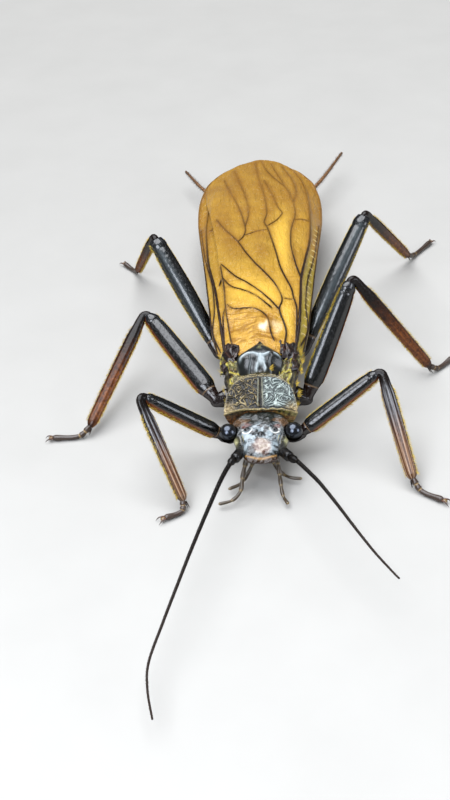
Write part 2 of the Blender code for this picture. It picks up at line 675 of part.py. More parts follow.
def make_feelers():
    for side in SIDES:
        scape = feeler("antenna_base_" + side, SCAPES[side], (SCAPE_THICKNESS, ANTENNA_THICKNESS[0]), 5)
        finish(scape, (0.012, 0.012, 0.012), 0.3)
        path = smooth_path(FLAGELLA[side], 40)
        half = len(path) // 2
        step = (path[half] - path[half - 1]) / np.linalg.norm(path[half] - path[half - 1])
        middle = sum(ANTENNA_THICKNESS) / 2
        near = np.vstack([path[:half], path[half] - step * GAP])
        first = feeler("antenna_near_" + side, near, (ANTENNA_THICKNESS[0], middle), 11)
        last = feeler("antenna_far_" + side, path[half:], (middle, ANTENNA_THICKNESS[1]), 11)
        finish(first, (0.012, 0.012, 0.012), 0.4)
        finish(last, (0.03, 0.025, 0.02), 0.4)
        palp = feeler("palp_maxillary_" + side, MAXILLARY_PALPS[side], PALP_THICKNESS, 11)
        finish(palp, (0.1, 0.07, 0.03), 0.4)
        palp = feeler("palp_labial_" + side, LABIAL_PALPS[side], PALP_THICKNESS, 8)
        finish(palp, (0.1, 0.07, 0.03), 0.4)
        cercus = feeler("cercus_" + side, CERCI[side], CERCUS_THICKNESS, 15)
        finish(cercus, (0.2, 0.09, 0.03), 0.45)


def centre_on_origin():
    """Stands everything on the floor with the middle of its bounding box over the origin."""
    bpy.context.view_layer.update()
    graph = bpy.context.evaluated_depsgraph_get()
    corners = []
    for obj in INSECT.objects:
        evaluated = obj.evaluated_get(graph)
        mesh = evaluated.to_mesh()
        corners += [obj.matrix_world @ v.co for v in mesh.vertices]
        evaluated.to_mesh_clear()
    places = np.array(corners)
    middle = (places.min(axis=0) + places.max(axis=0)) / 2
    stand = bpy.data.objects.new("stance", None)
    stand.location = (-middle[0], -middle[1], -places[:, 2].min())
    INSECT.objects.link(stand)
    for obj in list(INSECT.objects) + list(CUTTERS.objects):
        if obj is not stand:
            obj.parent = stand


make_head()
make_pronotum()
make_thorax()
make_abdomen()
make_wings()
for leg_pair, leg_side in STANCES:
    make_leg(leg_pair, leg_side)
make_feelers()
centre_on_origin()
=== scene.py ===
from math import cos, pi, radians, sin, tan

import bpy
import numpy as np
from mathutils import Matrix, Vector


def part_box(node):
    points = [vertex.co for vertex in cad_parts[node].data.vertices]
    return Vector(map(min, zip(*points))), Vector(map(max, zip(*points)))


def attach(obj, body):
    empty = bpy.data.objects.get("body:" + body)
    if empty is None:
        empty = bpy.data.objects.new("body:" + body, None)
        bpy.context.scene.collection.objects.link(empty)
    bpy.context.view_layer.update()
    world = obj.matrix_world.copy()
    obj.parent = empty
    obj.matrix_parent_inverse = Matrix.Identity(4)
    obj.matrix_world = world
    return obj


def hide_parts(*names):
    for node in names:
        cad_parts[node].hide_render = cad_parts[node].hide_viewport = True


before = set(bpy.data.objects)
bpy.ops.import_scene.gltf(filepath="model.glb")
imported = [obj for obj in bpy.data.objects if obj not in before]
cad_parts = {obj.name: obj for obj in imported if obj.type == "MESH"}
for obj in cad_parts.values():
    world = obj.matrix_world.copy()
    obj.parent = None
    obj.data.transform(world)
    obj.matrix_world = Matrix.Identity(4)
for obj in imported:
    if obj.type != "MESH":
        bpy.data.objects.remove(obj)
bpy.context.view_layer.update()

mm = 0.001  # the scene is in metres, and the sizes below are in millimetres
sides = {"l": 1, "r": -1}  # the insect's own left is +X
longName = {"l": "Left", "r": "Right"}

# Places are measured from the floor under the middle of the eyes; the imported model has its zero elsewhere.
eyePlace = np.array([1.92, -0.25, 2.92])
shift = np.mean([np.array(corner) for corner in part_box("eye_l")], axis=0) / mm - eyePlace


def linear(hexColour):
    channels = [int(hexColour[i : i + 2], 16) / 255 for i in (1, 3, 5)]
    return (*[c / 12.92 if c <= 0.04045 else ((c + 0.055) / 1.055) ** 2.4 for c in channels], 1.0)


def addNode(material, kind, settings=None, links=None):
    # a shader node with its settings by name or socket number, and a link into each named socket
    node = material.node_tree.nodes.new("ShaderNode" + kind)
    settings = dict(settings or {})
    stops = settings.pop("stops", None)
    for name, value in settings.items():
        if not isinstance(name, int) and name not in node.inputs:
            setattr(node, name, value)
    for name, value in settings.items():
        if isinstance(name, int) or name in node.inputs:
            node.inputs[name].default_value = value
    if stops:
        ramp = node.color_ramp.elements
        for _ in range(len(stops) - 2):
            ramp.new(0.5)
        for element, (place, colour) in zip(ramp, stops):
            element.position, element.color = place, linear(colour)
    for name, socket in (links or {}).items():
        material.node_tree.links.new(socket, node.inputs[name])
    return node


def newMaterial(name, shine):
    # a Principled surface with its constant values straight on its sockets
    material = bpy.data.materials.new(name)
    material.use_nodes = True
    shader = material.node_tree.nodes["Principled BSDF"]
    for socket, value in shine.items():
        shader.inputs[socket].default_value = linear(value) if isinstance(value, str) else value
    return material, shader


def mix(material, factor, under, over, edges=None):
    # two colours mixed by a socket, or by its stretch between edges; a colour is a hex word or a socket
    if edges:
        factor = reshape(material, factor, *edges)
    node = addNode(material, "Mix", {"data_type": "RGBA"})
    for number, value in ((0, factor), (6, under), (7, over)):
        if isinstance(value, str):
            node.inputs[number].default_value = linear(value)
        else:
            material.node_tree.links.new(value, node.inputs[number])
    return node.outputs[2]


def mask(material, name):
    # how much of a painted region covers a point, worked out in the mesh code
    return addNode(material, "Attribute", {"attribute_name": name}).outputs["Fac"]


def layer(material, base, name, colour, most=1.0):
    # lays a colour over the base inside a painted region
    return mix(material, mask(material, name), base, colour, (0.0, 1.0, 0.0, most) if most < 1 else None)


def scaled(material, size, stretch):
    # places on the model, in units of size millimetres
    place = addNode(material, "TexCoord").outputs["Object"]
    scale = [s / (size * mm) for s in stretch]
    return addNode(material, "Mapping", {"Scale": scale}, {"Vector": place}).outputs[0]


def grain(material, size, detail=3.0, roughness=0.55, stretch=(1, 1, 1), distortion=0.0):
    # cloudy noise whose lumps are size millimetres across
    settings = {"Scale": 1.0, "Detail": detail, "Roughness": roughness, "Distortion": distortion}
    return addNode(material, "TexNoise", settings, {"Vector": scaled(material, size, stretch)}).outputs["Fac"]


def cells(material, size, feature="F1", stretch=(1, 1, 1)):
    # distance to the nearest cell point, with cells size millimetres across
    settings, links = {"feature": feature, "Scale": 1.0}, {"Vector": scaled(material, size, stretch)}
    return addNode(material, "TexVoronoi", settings, links).outputs["Distance"]


def reshape(material, value, low, high, outLow=0.0, outHigh=1.0):
    # stretches the part of a value between low and high over a new range
    settings = {1: low, 2: high, 3: outLow, 4: outHigh}
    return addNode(material, "MapRange", settings, {0: value}).outputs[0]


def product(material, one, other):
    return addNode(material, "Math", {"operation": "MULTIPLY"}, {0: one, 1: other}).outputs[0]


def ramp(material, value, stops):
    # colours at places between 0 and 1
    return addNode(material, "ValToRGB", {"stops": stops}, {"Fac": value}).outputs[0]


def fadeGloss(material, shader, gloss, coat=None, cover=None, fade=(0.4, 0.8)):
    # the gloss dies away where a surface turns edge-on, so that a pale floor leaves black cuticle black
    facing = addNode(material, "LayerWeight", {"Blend": 0.5}).outputs["Facing"]
    for socket, level in (("Specular IOR Level", gloss), ("Coat Weight", coat)):
        if level is None:
            continue
        amount = reshape(material, facing, *fade, level, 0.0)
        if cover:  # where the surface is polished at all
            amount = product(material, amount, cover)
        material.node_tree.links.new(amount, shader.inputs[socket])


def surface(material, shader, base, reliefs=()):
    # gives the shader its colour and its relief, whose layers are (height socket, depth in millimetres)
    links = material.node_tree.links
    links.new(base, shader.inputs["Base Color"])
    normal = {}
    for height, depth in reliefs:
        settings = {"Strength": 1.0, "Distance": depth * mm}
        normal = {"Normal": addNode(material, "Bump", settings, {"Height": height} | normal).outputs[0]}
    if normal:
        links.new(normal["Normal"], shader.inputs["Normal"])
    return material


def readOff(places, marks, values):
    # rows of values that are known at the marks, read off at other places
    return np.column_stack([np.interp(places, marks, values[:, k]) for k in range(values.shape[1])])


def pathSteps(points):
    return np.linalg.norm(np.diff(points, axis=0), axis=1)


def smoothPath(points, count):
    # evenly spaced points on the smooth curve through the given ones
    pts = np.array(points, float)
    ends = np.vstack([2 * pts[0] - pts[1], pts, 2 * pts[-1] - pts[-2]])
    fine = []
    for i in range(1, len(ends) - 2):
        a, b, c, d = ends[i - 1 : i + 3]
        square, cube = 2 * a - 5 * b + 4 * c - d, 3 * b - a - 3 * c + d
        for t in np.linspace(0, 1, 16, endpoint=False):
            fine.append(0.5 * (2 * b + (c - a) * t + square * t**2 + cube * t**3))
    fine = np.array(fine + [pts[-1]])
    run = np.concatenate([[0], np.cumsum(pathSteps(fine))])
    return readOff(np.linspace(0, run[-1], count), run, fine)


def eased(pairs, at):
    # smooth values between (place, value) pairs
    pairs = np.array(pairs, float)
    fine = smoothPath(pairs, 40 * len(pairs))
    return np.interp(at, fine[:, 0], fine[:, 1])


def bell(distance, width):
    return np.exp(-((distance / width) ** 2))


def step(value, low, high):
    share = np.clip((value - low) / (high - low), 0, 1)
    return share * share * (3 - 2 * share)


def spots(x, y, places, soft=0.3):
    # 1 inside each ellipse (x, y, half width, half length), 0 outside, soft at the rim
    cover = np.zeros_like(x)
    for cx, cy, rx, ry in places:
        away = np.hypot((x - cx) / rx, (y - cy) / ry)
        cover = np.maximum(cover, 1 - step(away, 1 - soft, 1 + soft))
    return cover


def ripple(points, size, seed):
    # a smooth wandering field of about -2 to 2 whose hills are size millimetres apart
    chance = np.random.default_rng(seed)
    ways = chance.normal(size=(16, 3))
    ways /= np.linalg.norm(ways, axis=1, keepdims=True)
    flat = points.reshape(-1, 3)
    turns = chance.uniform(0, 2 * pi, 16)
    total = sum(np.cos(flat @ way * 2 * pi / size + turn) for way, turn in zip(ways, turns))
    return (total / 8**0.5).reshape(points.shape[:-1])


def lineDistance(x, y, line):
    # distance from each point to a line of (x, y) points
    best = np.full(x.shape, 1e9)
    for (ax, ay), (bx, by) in zip(line[:-1], line[1:]):
        dx, dy = bx - ax, by - ay
        t = np.clip(((x - ax) * dx + (y - ay) * dy) / max(dx * dx + dy * dy, 1e-12), 0, 1)
        best = np.minimum(best, np.hypot(x - ax - t * dx, y - ay - t * dy))
    return best


def gridNormals(grid, closed=True):
    # outward normals of a grid of points (rows, around)
    along = np.gradient(grid, axis=0)
    if closed:
        around = np.roll(grid, -1, axis=1) - np.roll(grid, 1, axis=1)
    else:
        around = np.gradient(grid, axis=1)
    normal = np.cross(around, along)
    normal /= np.maximum(np.linalg.norm(normal, axis=2, keepdims=True), 1e-12)
    outward = np.sum(normal * (grid - grid.mean(axis=1, keepdims=True)))
    return normal if outward > 0 else -normal


def roughen(grid, depth, size, seed):
    # moves a grid's points in and out by a ripple
    return grid + gridNormals(grid) * (depth * ripple(grid, size, seed))[..., None]


def faceOut(points, quads, triangles):
    # turns all the faces round if the closed body is inside out
    a, b, c, d = (points[quads[:, k]] for k in range(4))
    volume = np.sum(np.cross(a, b) * c) + np.sum(np.cross(a, c) * d)
    if len(triangles):
        a, b, c = (points[triangles[:, k]] for k in range(3))
        volume += np.sum(np.cross(a, b) * c)
    return (quads, triangles) if volume > 0 else (quads[:, ::-1], triangles[:, ::-1])


def closedPart(grid, masks=None, slot=0):
    # a tube of rings, closed at both ends, as (points, quads, triangles, masks, material slot)
    rows, around = grid.shape[:2]
    index = np.arange(rows * around).reshape(rows, around)
    nextIndex = np.roll(index, -1, axis=1)
    quads = np.stack([index[:-1], nextIndex[:-1], nextIndex[1:], index[1:]], axis=-1).reshape(-1, 4)
    first, last = rows * around, rows * around + 1
    points = np.vstack([grid.reshape(-1, 3), grid[0].mean(0), grid[-1].mean(0)])
    start = np.stack([nextIndex[0], index[0], np.full(around, first)], axis=-1)
    end = np.stack([index[-1], nextIndex[-1], np.full(around, last)], axis=-1)
    values = {}
    for name, value in (masks or {}).items():
        value = np.broadcast_to(value, (rows, around))
        values[name] = np.concatenate([value.ravel(), [value[0].mean(), value[-1].mean()]])
    quads, caps = faceOut(points, quads, np.vstack([start, end]))
    return points, quads, caps, values, slot


def sheetPart(top, low, masks=None, slot=0):
    # a thin closed body between two grids of points
    rows, columns = top.shape[:2]
    index = np.arange(rows * columns).reshape(rows, columns)
    quads = np.stack([index[:-1, :-1], index[:-1, 1:], index[1:, 1:], index[1:, :-1]], axis=-1).reshape(-1, 4)
    rim = np.concatenate([index[0, :-1], index[:-1, -1], index[-1, :0:-1], index[:0:-1, 0]])
    size = rows * columns
    wall = np.stack([rim, rim + size, np.roll(rim, -1) + size, np.roll(rim, -1)], axis=-1)
    points = np.vstack([top.reshape(-1, 3), low.reshape(-1, 3)])
    values = {}
    for name, value in (masks or {}).items():
        values[name] = np.tile(np.broadcast_to(value, (rows, columns)).ravel(), 2)
    quads, none = faceOut(points, np.vstack([quads, quads[:, ::-1] + size, wall]), np.zeros((0, 3), int))
    return points, quads, none, values, slot


def makePiece(name, parts, materials, replaced=()):
    # one mesh object of closed parts, with their masks as attributes, riding on the model
    points, loops, starts, slots = [], [], [], []
    count = done = 0
    for vertices, quads, triangles, _, number in parts:
        for faces in (quads, triangles):
            if len(faces):
                loops.append((faces + count).ravel())
                starts.append(done + np.arange(len(faces)) * faces.shape[1])
                slots.append(np.full(len(faces), number))
                done += faces.size
        points.append(vertices)
        count += len(vertices)
    mesh = bpy.data.meshes.new(name)
    mesh.vertices.add(count)
    mesh.vertices.foreach_set("co", ((np.vstack(points) + shift) * mm).ravel())
    mesh.loops.add(done)
    mesh.loops.foreach_set("vertex_index", np.concatenate(loops).astype(np.int32))
    starts = np.concatenate(starts)
    mesh.polygons.add(len(starts))
    mesh.polygons.foreach_set("loop_start", starts.astype(np.int32))
    mesh.polygons.foreach_set("material_index", np.concatenate(slots).astype(np.int32))
    mesh.update(calc_edges=True)
    for word in sorted({word for part in parts for word in part[3]}):
        values = np.concatenate([np.broadcast_to(part[3].get(word, 0.0), len(part[0])) for part in parts])
        mesh.attributes.new(word, "FLOAT", "POINT").data.foreach_set("value", values.astype(np.float32))
    for material in materials:
        mesh.materials.append(material)
    mesh.shade_smooth()
    obj = bpy.data.objects.new(name, mesh)
    bpy.context.scene.collection.objects.link(obj)
    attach(obj, "root")
    if replaced:
        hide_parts(*replaced)
    return obj


def limbFrames(path, upper):
    # directions along, up and across at each point of a path
    along = np.gradient(path, axis=0)
    along /= np.linalg.norm(along, axis=1, keepdims=True)
    ups, up = [], np.array(upper, float)
    for way in along:
        up = up - way * (up @ way)
        up /= np.linalg.norm(up)
        ups.append(up)
    ups = np.array(ups)
    return along, ups, np.cross(ups, along)


def ringTurns(around, offset=0.0):
    return 2 * pi * (np.arange(around) + offset) / around


def boxy(value, square):
    # a sine or cosine made fuller: 2 leaves a circle, more draws it towards a square
    return np.sign(value) * np.abs(value) ** (2 / square)


def limbGrid(path, upper, widths, depths, around=32, square=2.2, relief=None):
    # rings round a path: turn 0 is across, a quarter turn is its upper side
    turn = ringTurns(around)
    u, v = boxy(np.cos(turn), square), boxy(np.sin(turn), square)
    _, ups, across = limbFrames(path, upper)
    widths, depths = (np.broadcast_to(size, len(path)) for size in (widths, depths))
    swell = np.ones((len(path), around)) if relief is None else relief
    flat = (widths[:, None] / 2 * u * swell)[..., None] * across[:, None]
    tall = (depths[:, None] / 2 * v * swell)[..., None] * ups[:, None]
    return path[:, None] + flat + tall


print("camera")
view = {
    "place": (1.354, -55.008, 47.342),
    "lens": 54,  # gives the photograph's 17 degrees across a 36 mm wide long side
    "down": 37.409,
    "turn": -3.488,
    "roll": -3.711,
}


def makeCamera():
    down, turn, roll = (radians(view[word]) for word in ("down", "turn", "roll"))
    forward = Vector((sin(turn) * cos(down), cos(turn) * cos(down), -sin(down)))
    right = Vector((cos(turn), -sin(turn), 0))
    up = right.cross(forward)
    leaning = cos(roll) * right + sin(roll) * up
    upright = cos(roll) * up - sin(roll) * right
    lens = bpy.data.cameras.new("camera")
    lens.sensor_width, lens.lens = 36, view["lens"]
    lens.clip_start, lens.clip_end = 0.002, 5
    camera = bpy.data.objects.new("camera", lens)
    place = (np.array(view["place"]) + shift) * mm
    camera.matrix_world = Matrix(
        [[leaning[k], upright[k], -forward[k], place[k]] for k in range(3)] + [[0, 0, 0, 1]]
    )
    bpy.context.scene.collection.objects.link(camera)
    bpy.context.scene.camera = camera


makeCamera()

print("head")
head = {
    # y, half width, top, bottom
    "outline": [
        (1.45, 1.1, 3.2, 1.95), (1.2, 1.4, 3.36, 1.88), (0.85, 1.62, 3.45, 1.82), (0.4, 1.74, 3.46, 1.78),
        (-0.2, 1.7, 3.42, 1.78), (-0.8, 1.56, 3.26, 1.8), (-1.3, 1.3, 3.06, 1.88), (-1.75, 1.07, 2.9, 2.02),
        (-2.1, 0.99, 2.8, 2.16), (-2.24, 0.94, 2.75, 2.24), (-2.38, 0.83, 2.69, 2.33),
        (-2.48, 0.68, 2.64, 2.4),
        (-2.55, 0.45, 2.59, 2.45), (-2.58, 0.2, 2.55, 2.49),
    ],
    "rows": 230,
    "around": 240,
    "square": 2.35,  # how boxy its cross-section is
    "ocelli": [(-0.8, -0.42), (0.8, -0.42), (0.0, -0.8)],
    "sockets": [(-1.3, -1.42, 2.55), (1.3, -1.42, 2.55)],  # where the antennae grow
    "cream": (1.52, -0.9, 2.72),  # a pale patch between eye and antenna
    # the face's side edge, from the eye down
    "marks": {  # patches of the shell: x, y, half width, half length
        "brow": [(0, -0.95, 1.2, 1.2)],
        "temple": [(1.45, 0.3, 0.45, 0.38), (1.05, 0.28, 0.4, 0.16)],
        "ring": [(0.8, -0.55, 0.42, 0.3)],
        "clypeus": [(0.04, -1.55, 0.5, 0.52)],
        "rust": [(0.88, -0.14, 0.26, 0.16)],
        "jaw": [(0.62, -1.55, 0.38, 0.6)],
    },
    "rim": [(1.22, -0.62), (1.12, -1.0), (1.02, -1.5), (1.02, -2.05)],
    "lipGroove": -2.12,
    "eyeRadius": 0.57,
}


def headShape():
    y = np.linspace(head["outline"][0][0], head["outline"][-1][0], head["rows"])
    outline = np.array(head["outline"])[::-1]
    half, top, bottom = (eased(outline[:, [0, k]], y) for k in (1, 2, 3))
    turn = ringTurns(head["around"], 0.5)
    x = half[:, None] * boxy(np.cos(turn), head["square"])
    middle, tall = (top + bottom) / 2, (top - bottom) / 2
    z = middle[:, None] + tall[:, None] * boxy(np.sin(turn), head["square"])
    return np.stack([x, np.broadcast_to(y[:, None], x.shape), z], axis=-1)


def farFrom(grid, place):
    return np.linalg.norm(grid - np.array(place), axis=-1)


def makeHead():
    marks = head["marks"]
    grid = headShape()
    normal = gridNormals(grid)
    x, y = grid[..., 0], grid[..., 1]
    side = np.abs(x)
    above = step(normal[..., 2], 0.15, 0.5)
    field, fine = ripple(grid, 0.75, 3), ripple(grid, 0.26, 4)
    # ocelli: three small domes, each in a shallow ring
    rise, ring, lens, calm = (np.zeros_like(x) for _ in range(4))
    for ox, oy in head["ocelli"]:
        away = np.hypot(x - ox, (y - oy) * 1.1)
        rise += above * (0.11 * bell(away, 0.14) - 0.05 * bell(away - 0.26, 0.06))
        lens = np.maximum(lens, above * (1 - step(away, 0.15, 0.2)))
        ring = np.maximum(ring, above * bell(away - 0.29, 0.045) * (y < oy + 0.12))
        calm = np.maximum(calm, bell(away, 0.3))
    # the stem and arms of the head's seam, the pad of the face and its edges
    stem = lineDistance(x, y, [(0, 1.4), (0, 0.05)])
    arms = lineDistance(side, y, [(0, 0.05), (0.45, -0.15), (0.95, -0.28), (1.25, -0.62)])
    seam = above * np.maximum(bell(stem, 0.03), bell(arms, 0.03))
    face = lineDistance(side, y, [(0, -1.02), (0.42, -1.08), (0.72, -1.3), (0.92, -2.05)])
    cheek = lineDistance(side, y, head["rim"])
    outside = side - np.interp(y, *np.array(head["rim"])[::-1, ::-1].T)
    edge = above * bell(cheek, 0.07) * (0.35 + 0.65 * bell(y + 1.25, 0.45))
    front = -y - 2.02 - 0.33 * (1 - (side / 0.95) ** 2)  # how far a point lies before the lip's line
    pad = above * step(-y, 0.98, 1.25) * (1 - step(side, 0.62, 0.95)) * (1 - step(-y, 1.95, 2.1))
    lip = bell(y - head["lipGroove"], 0.035)
    rise += -0.035 * seam - 0.07 * edge + 0.06 * pad - 0.05 * lip * above
    rise -= 0.02 * above * bell(face, 0.04)
    rise += above * 0.05 * spots(side, y, [(0.42, -0.62, 0.3, 0.16)], 0.6)
    rise += above * 0.05 * spots(side, y, [(1.3, 0.18, 0.3, 0.4)], 0.7)
    # wrinkles: broad soft ones on the brow, cross folds on the temples
    rise += above * (0.02 * field + 0.009 * fine) * (1 - calm)
    rise += 0.012 * np.sin(y * 2 * pi / 0.16 + field) * spots(side, y, [(1.15, 0.55, 0.5, 0.35)], 0.5)
    # hollows for the antennae with a raised rim, and the rim of each eye
    for place in head["sockets"]:
        away = farFrom(grid, place)
        rise += 0.07 * bell(away - 0.4, 0.07) - 0.12 * bell(away, 0.26)
    rim = np.zeros_like(x)
    for sign in (1, -1):
        away = farFrom(grid, eyePlace * (sign, 1, 1))
        rim = np.maximum(rim, bell(away - head["eyeRadius"] - 0.07, 0.05))
        rise -= 0.1 * (1 - step(away, 0.5, 0.62))
    rise += 0.02 * rim * (side < 1.75)
    # mouthparts below: jaw swellings and the groove between them and the lower lip
    below = step(-normal[..., 2], 0.2, 0.6)
    jaw, groove = spots(side, y, marks["jaw"], 0.6), bell(side - 0.22, 0.05) * (y < -0.2)
    rise += below * (0.07 * jaw - 0.05 * groove)
    grid = grid + normal * rise[..., None]
    socket = np.maximum.reduce([bell(farFrom(grid, place), 0.42) for place in head["sockets"]])
    brow = spots(side, y, marks["brow"], 0.25)
    temple = spots(side, y + 0.06 * field, marks["temple"], 0.4)
    streaks = above * bell(cheek - 0.1, 0.025) * (side > 1.0) * (y < -0.75)
    masks = {
        "lens": lens,
        "ring": ring * spots(side, y, marks["ring"], 0.5),
        "seam": np.maximum(seam, 0.8 * edge),
        # where the brow's painted reflection lies
        "brow": above * brow * (1 - step(y + 0.12 * field, -0.2, 0.12)),
        "clypeus": above * spots(x + 0.05 * field, y + 0.05 * fine, marks["clypeus"], 0.35),
        "rust": above * spots(side + 0.06 * field, y, marks["rust"], 0.4),
        "temple": temple * step(normal[..., 2], -0.5, 0.3),
        "lip": above * bell(front - 0.02, 0.07) * (side < 0.93),
        # the part before the lip's line, darkened as painted shadow under the lip
        "mouth": step(front, 0.08, 0.14),
        "pale": np.maximum(0.8 * socket * step(side, 1.25, 1.45), 0.7 * streaks),
        "under": step(-normal[..., 2], -0.1, 0.45),
        "flank": step(outside, 0.02, 0.12) * step(-y, 0.5, 0.75) * step(normal[..., 2], -0.5, -0.1),
        "cream": bell(farFrom(np.abs(grid * (1, 0, 0)) + grid * (0, 1, 1), head["cream"]), 0.2),
    }
    return closedPart(grid, masks)


def headCuticle():
    # hardened head shell, grown and polished smooth: wet-looking gloss, with patches of painted pale
    # blue-grey reflection on the brow
    material, shader = newMaterial("headCuticle", {"Roughness": 0.24, "IOR": 1.5, "Coat Roughness": 0.1})
    wet = reshape(material, mask(material, "brow"), 0.0, 1.0, 0.15, 0.5)  # the face shines more than the nape
    dry = reshape(material, mask(material, "mouth"), 0.0, 1.0, 1.0, 0.1)
    material.node_tree.links.new(product(material, wet, dry), shader.inputs["Coat Weight"])
    cloud = grain(material, 0.42, 4, 0.6, distortion=0.6)
    fine = grain(material, 0.12, 4)
    base = mix(material, cloud, "#080a09", "#1d221e")  # black with a green-grey bloom
    # painted reflection: pale blue-grey cloud patches over the black brow stand in for the sky's sheen on wet
    # cuticle
    brow = mix(material, cloud, "#0b0f11", "#8b979c", (0.42, 0.55))
    base = layer(material, base, "brow", brow)
    patch = mix(material, cloud, "#5e4236", "#aa9c8e", (0.4, 0.6))  # the pinkish pad of the face
    base = layer(material, base, "clypeus", patch)
    base = layer(material, base, "temple", mix(material, fine, "#24160e", "#6e5238", (0.3, 0.7)))
    base = layer(material, base, "rust", mix(material, fine, "#220b05", "#5c2410", (0.3, 0.7)))
    base = layer(material, base, "ring", "#e2e2dc")
    base = layer(material, base, "pale", "#b8a964")
    base = layer(material, base, "under", mix(material, cloud, "#4a3216", "#7a5a2c"))
    base = layer(material, base, "flank", "#070808")
    base = layer(material, base, "cream", mix(material, fine, "#8e8a50", "#d8d4a8"))
    base = layer(material, base, "seam", "#08090a")
    # painted shadow: dark brown under the lip
    base = layer(material, base, "mouth", mix(material, fine, "#140b04", "#3a2410"))
    base = layer(material, base, "lip", mix(material, fine, "#5e3c18", "#a88040"))
    base = layer(material, base, "lens", "#050506")
    return surface(material, shader, base, [(fine, 0.03), (cells(material, 0.07), 0.008)])


makePiece("headCapsule", [makeHead()], [headCuticle()], ("head", "labrum"))

eyes = {"rows": 72, "around": 96, "facet": 0.035, "flatten": 0.97}


def makeEye(sign):
    # a slightly flattened dome whose pole points outwards
    polar = np.linspace(0.02, pi - 0.02, eyes["rows"])[:, None]
    turn = ringTurns(eyes["around"])
    out = np.cos(polar) * np.ones_like(turn) * eyes["flatten"]
    round1, round2 = np.sin(polar) * np.cos(turn), np.sin(polar) * np.sin(turn)
    swell = 1 + 0.015 * np.sin(3 * polar) * np.cos(turn)
    grid = np.stack([out * sign, round1 * swell, round2], axis=-1) * head["eyeRadius"]
    return closedPart(grid + eyePlace * (sign, 1, 1), {"dome": step(round2, -0.15, 0.3)})


def eyeCornea():
    # lens facets of clear hardened cuticle over black pigment: a mirror-like black bead
    material, shader = newMaterial("eyeCornea", {
        "Roughness": 0.17, "IOR": 1.5, "Specular Tint": "#c4d8f6", "Coat Roughness": 0.06,
    })
    fadeGloss(material, shader, 0.8, 0.5, mask(material, "dome"))  # painted shade: gloss only on the upper half, so the lower half shows no reflection of the floor and stays black
    facets = cells(material, eyes["facet"])  # real facets are 0.02 mm; drawn coarser so that they show
    tint = mix(material, facets, "#020202", "#0a0806", (0.2, 0.6))
    return surface(material, shader, tint, [(facets, 0.003)])


cornea = eyeCornea()
for letter, sign in sides.items():
    makePiece("eye" + longName[letter], [makeEye(sign)], [cornea], ("eye_" + letter,))

print("body")
trunk = {  # one skin from the neck to the tail
    # y, half width, top, bottom
    "outline": [
        (0.6, 1.0, 2.72, 1.95), (0.95, 1.12, 2.75, 1.6), (1.4, 1.4, 2.85, 1.32), (2.4, 1.5, 3.2, 1.25),
        (3.2, 1.75, 3.5, 1.22), (3.7, 1.95, 3.86, 1.2), (4.1, 2.05, 4.1, 1.18), (5.2, 2.2, 4.3, 1.15),
        (6.1, 2.3, 4.32, 1.15), (6.7, 2.22, 4.22, 1.12), (7.3, 2.15, 3.85, 1.1), (8.2, 2.1, 3.5, 1.08),
        (9.5, 2.05, 3.42, 1.03), (10.8, 2.0, 3.36, 0.95),
    ],
    "rows": 520,
    "around": 120,
    "square": 2.4,
    "segments": (10.95, 25.55, 10),  # the abdomen: from, to, how many rings
    "bottom": 0.82,
    "halfWidths": (1.98, 1.2),
    "plates": [(1.0, 3.6), (3.75, 6.7), (6.9, 10.7)],  # the three rings of the thorax
    # a line of pale skin along each side: y, z
    "seam": [(2.0, 2.9), (3.0, 3.2), (4.2, 3.6), (5.6, 3.85), (7.5, 3.2)],
}
wing = {
    "crest": [(6.9, 4.78), (10.0, 4.86), (20.0, 4.62), (28.0, 4.4), (32.3, 4.25)],
    "fall": [(6.9, 0.85), (10.5, 0.35), (32.3, 0.3)],
    "slope": (48, 8),  # how steeply the front strip of a forewing is bent down, in degrees, and at the tip
    "flatFrom": 24.0,
    "flatTo": 31.0,
    "thickness": 0.05,
    # below the top wing
    "layers": {"forewingRight": 0.5, "hindwingLeft": 0.85, "hindwingRight": 1.2, "abdomen": 1.5},
    "costa": [(2.75, 6.9), (3.2, 9.6), (3.8, 16.0), (4.4, 21.5), (4.65, 24.5), (4.6, 27.2), (4.1, 29.4),
              (3.15, 30.9)],
    "radius": [(2.3, 6.9), (2.55, 9.5), (2.8, 14.0), (3.5, 19.3), (3.7, 22.5), (3.6, 25.8), (3.0, 29.2),
               (2.0, 31.5)],
}


def radiusLine(y):
    return np.interp(y, *np.array(wing["radius"])[:, ::-1].T)


def costaLine(y):
    return np.interp(y, *np.array(wing["costa"])[:, ::-1].T)


def stripSlope(y):
    ease = np.clip((y - wing["flatFrom"]) / (wing["flatTo"] - wing["flatFrom"]), 0, 1)
    return radians(wing["slope"][0]) * (1 - ease) + radians(wing["slope"][1]) * ease


def wingHeight(x, y):
    # the upper face of the top forewing; the same rule as in the solids
    edge = radiusLine(y)
    share = np.minimum(np.abs(x) / edge, 1.0)
    crest = np.interp(y, *np.array(wing["crest"]).T)
    fall = np.interp(y, *np.array(wing["fall"]).T)
    return crest - fall * share**2 - np.maximum(np.abs(x) - edge, 0) * np.tan(stripSlope(y))


def stripShare(x, y):
    edge = radiusLine(y)
    return np.clip((np.abs(x) - edge) / np.maximum(costaLine(y) - edge, 0.05), 0, 1)


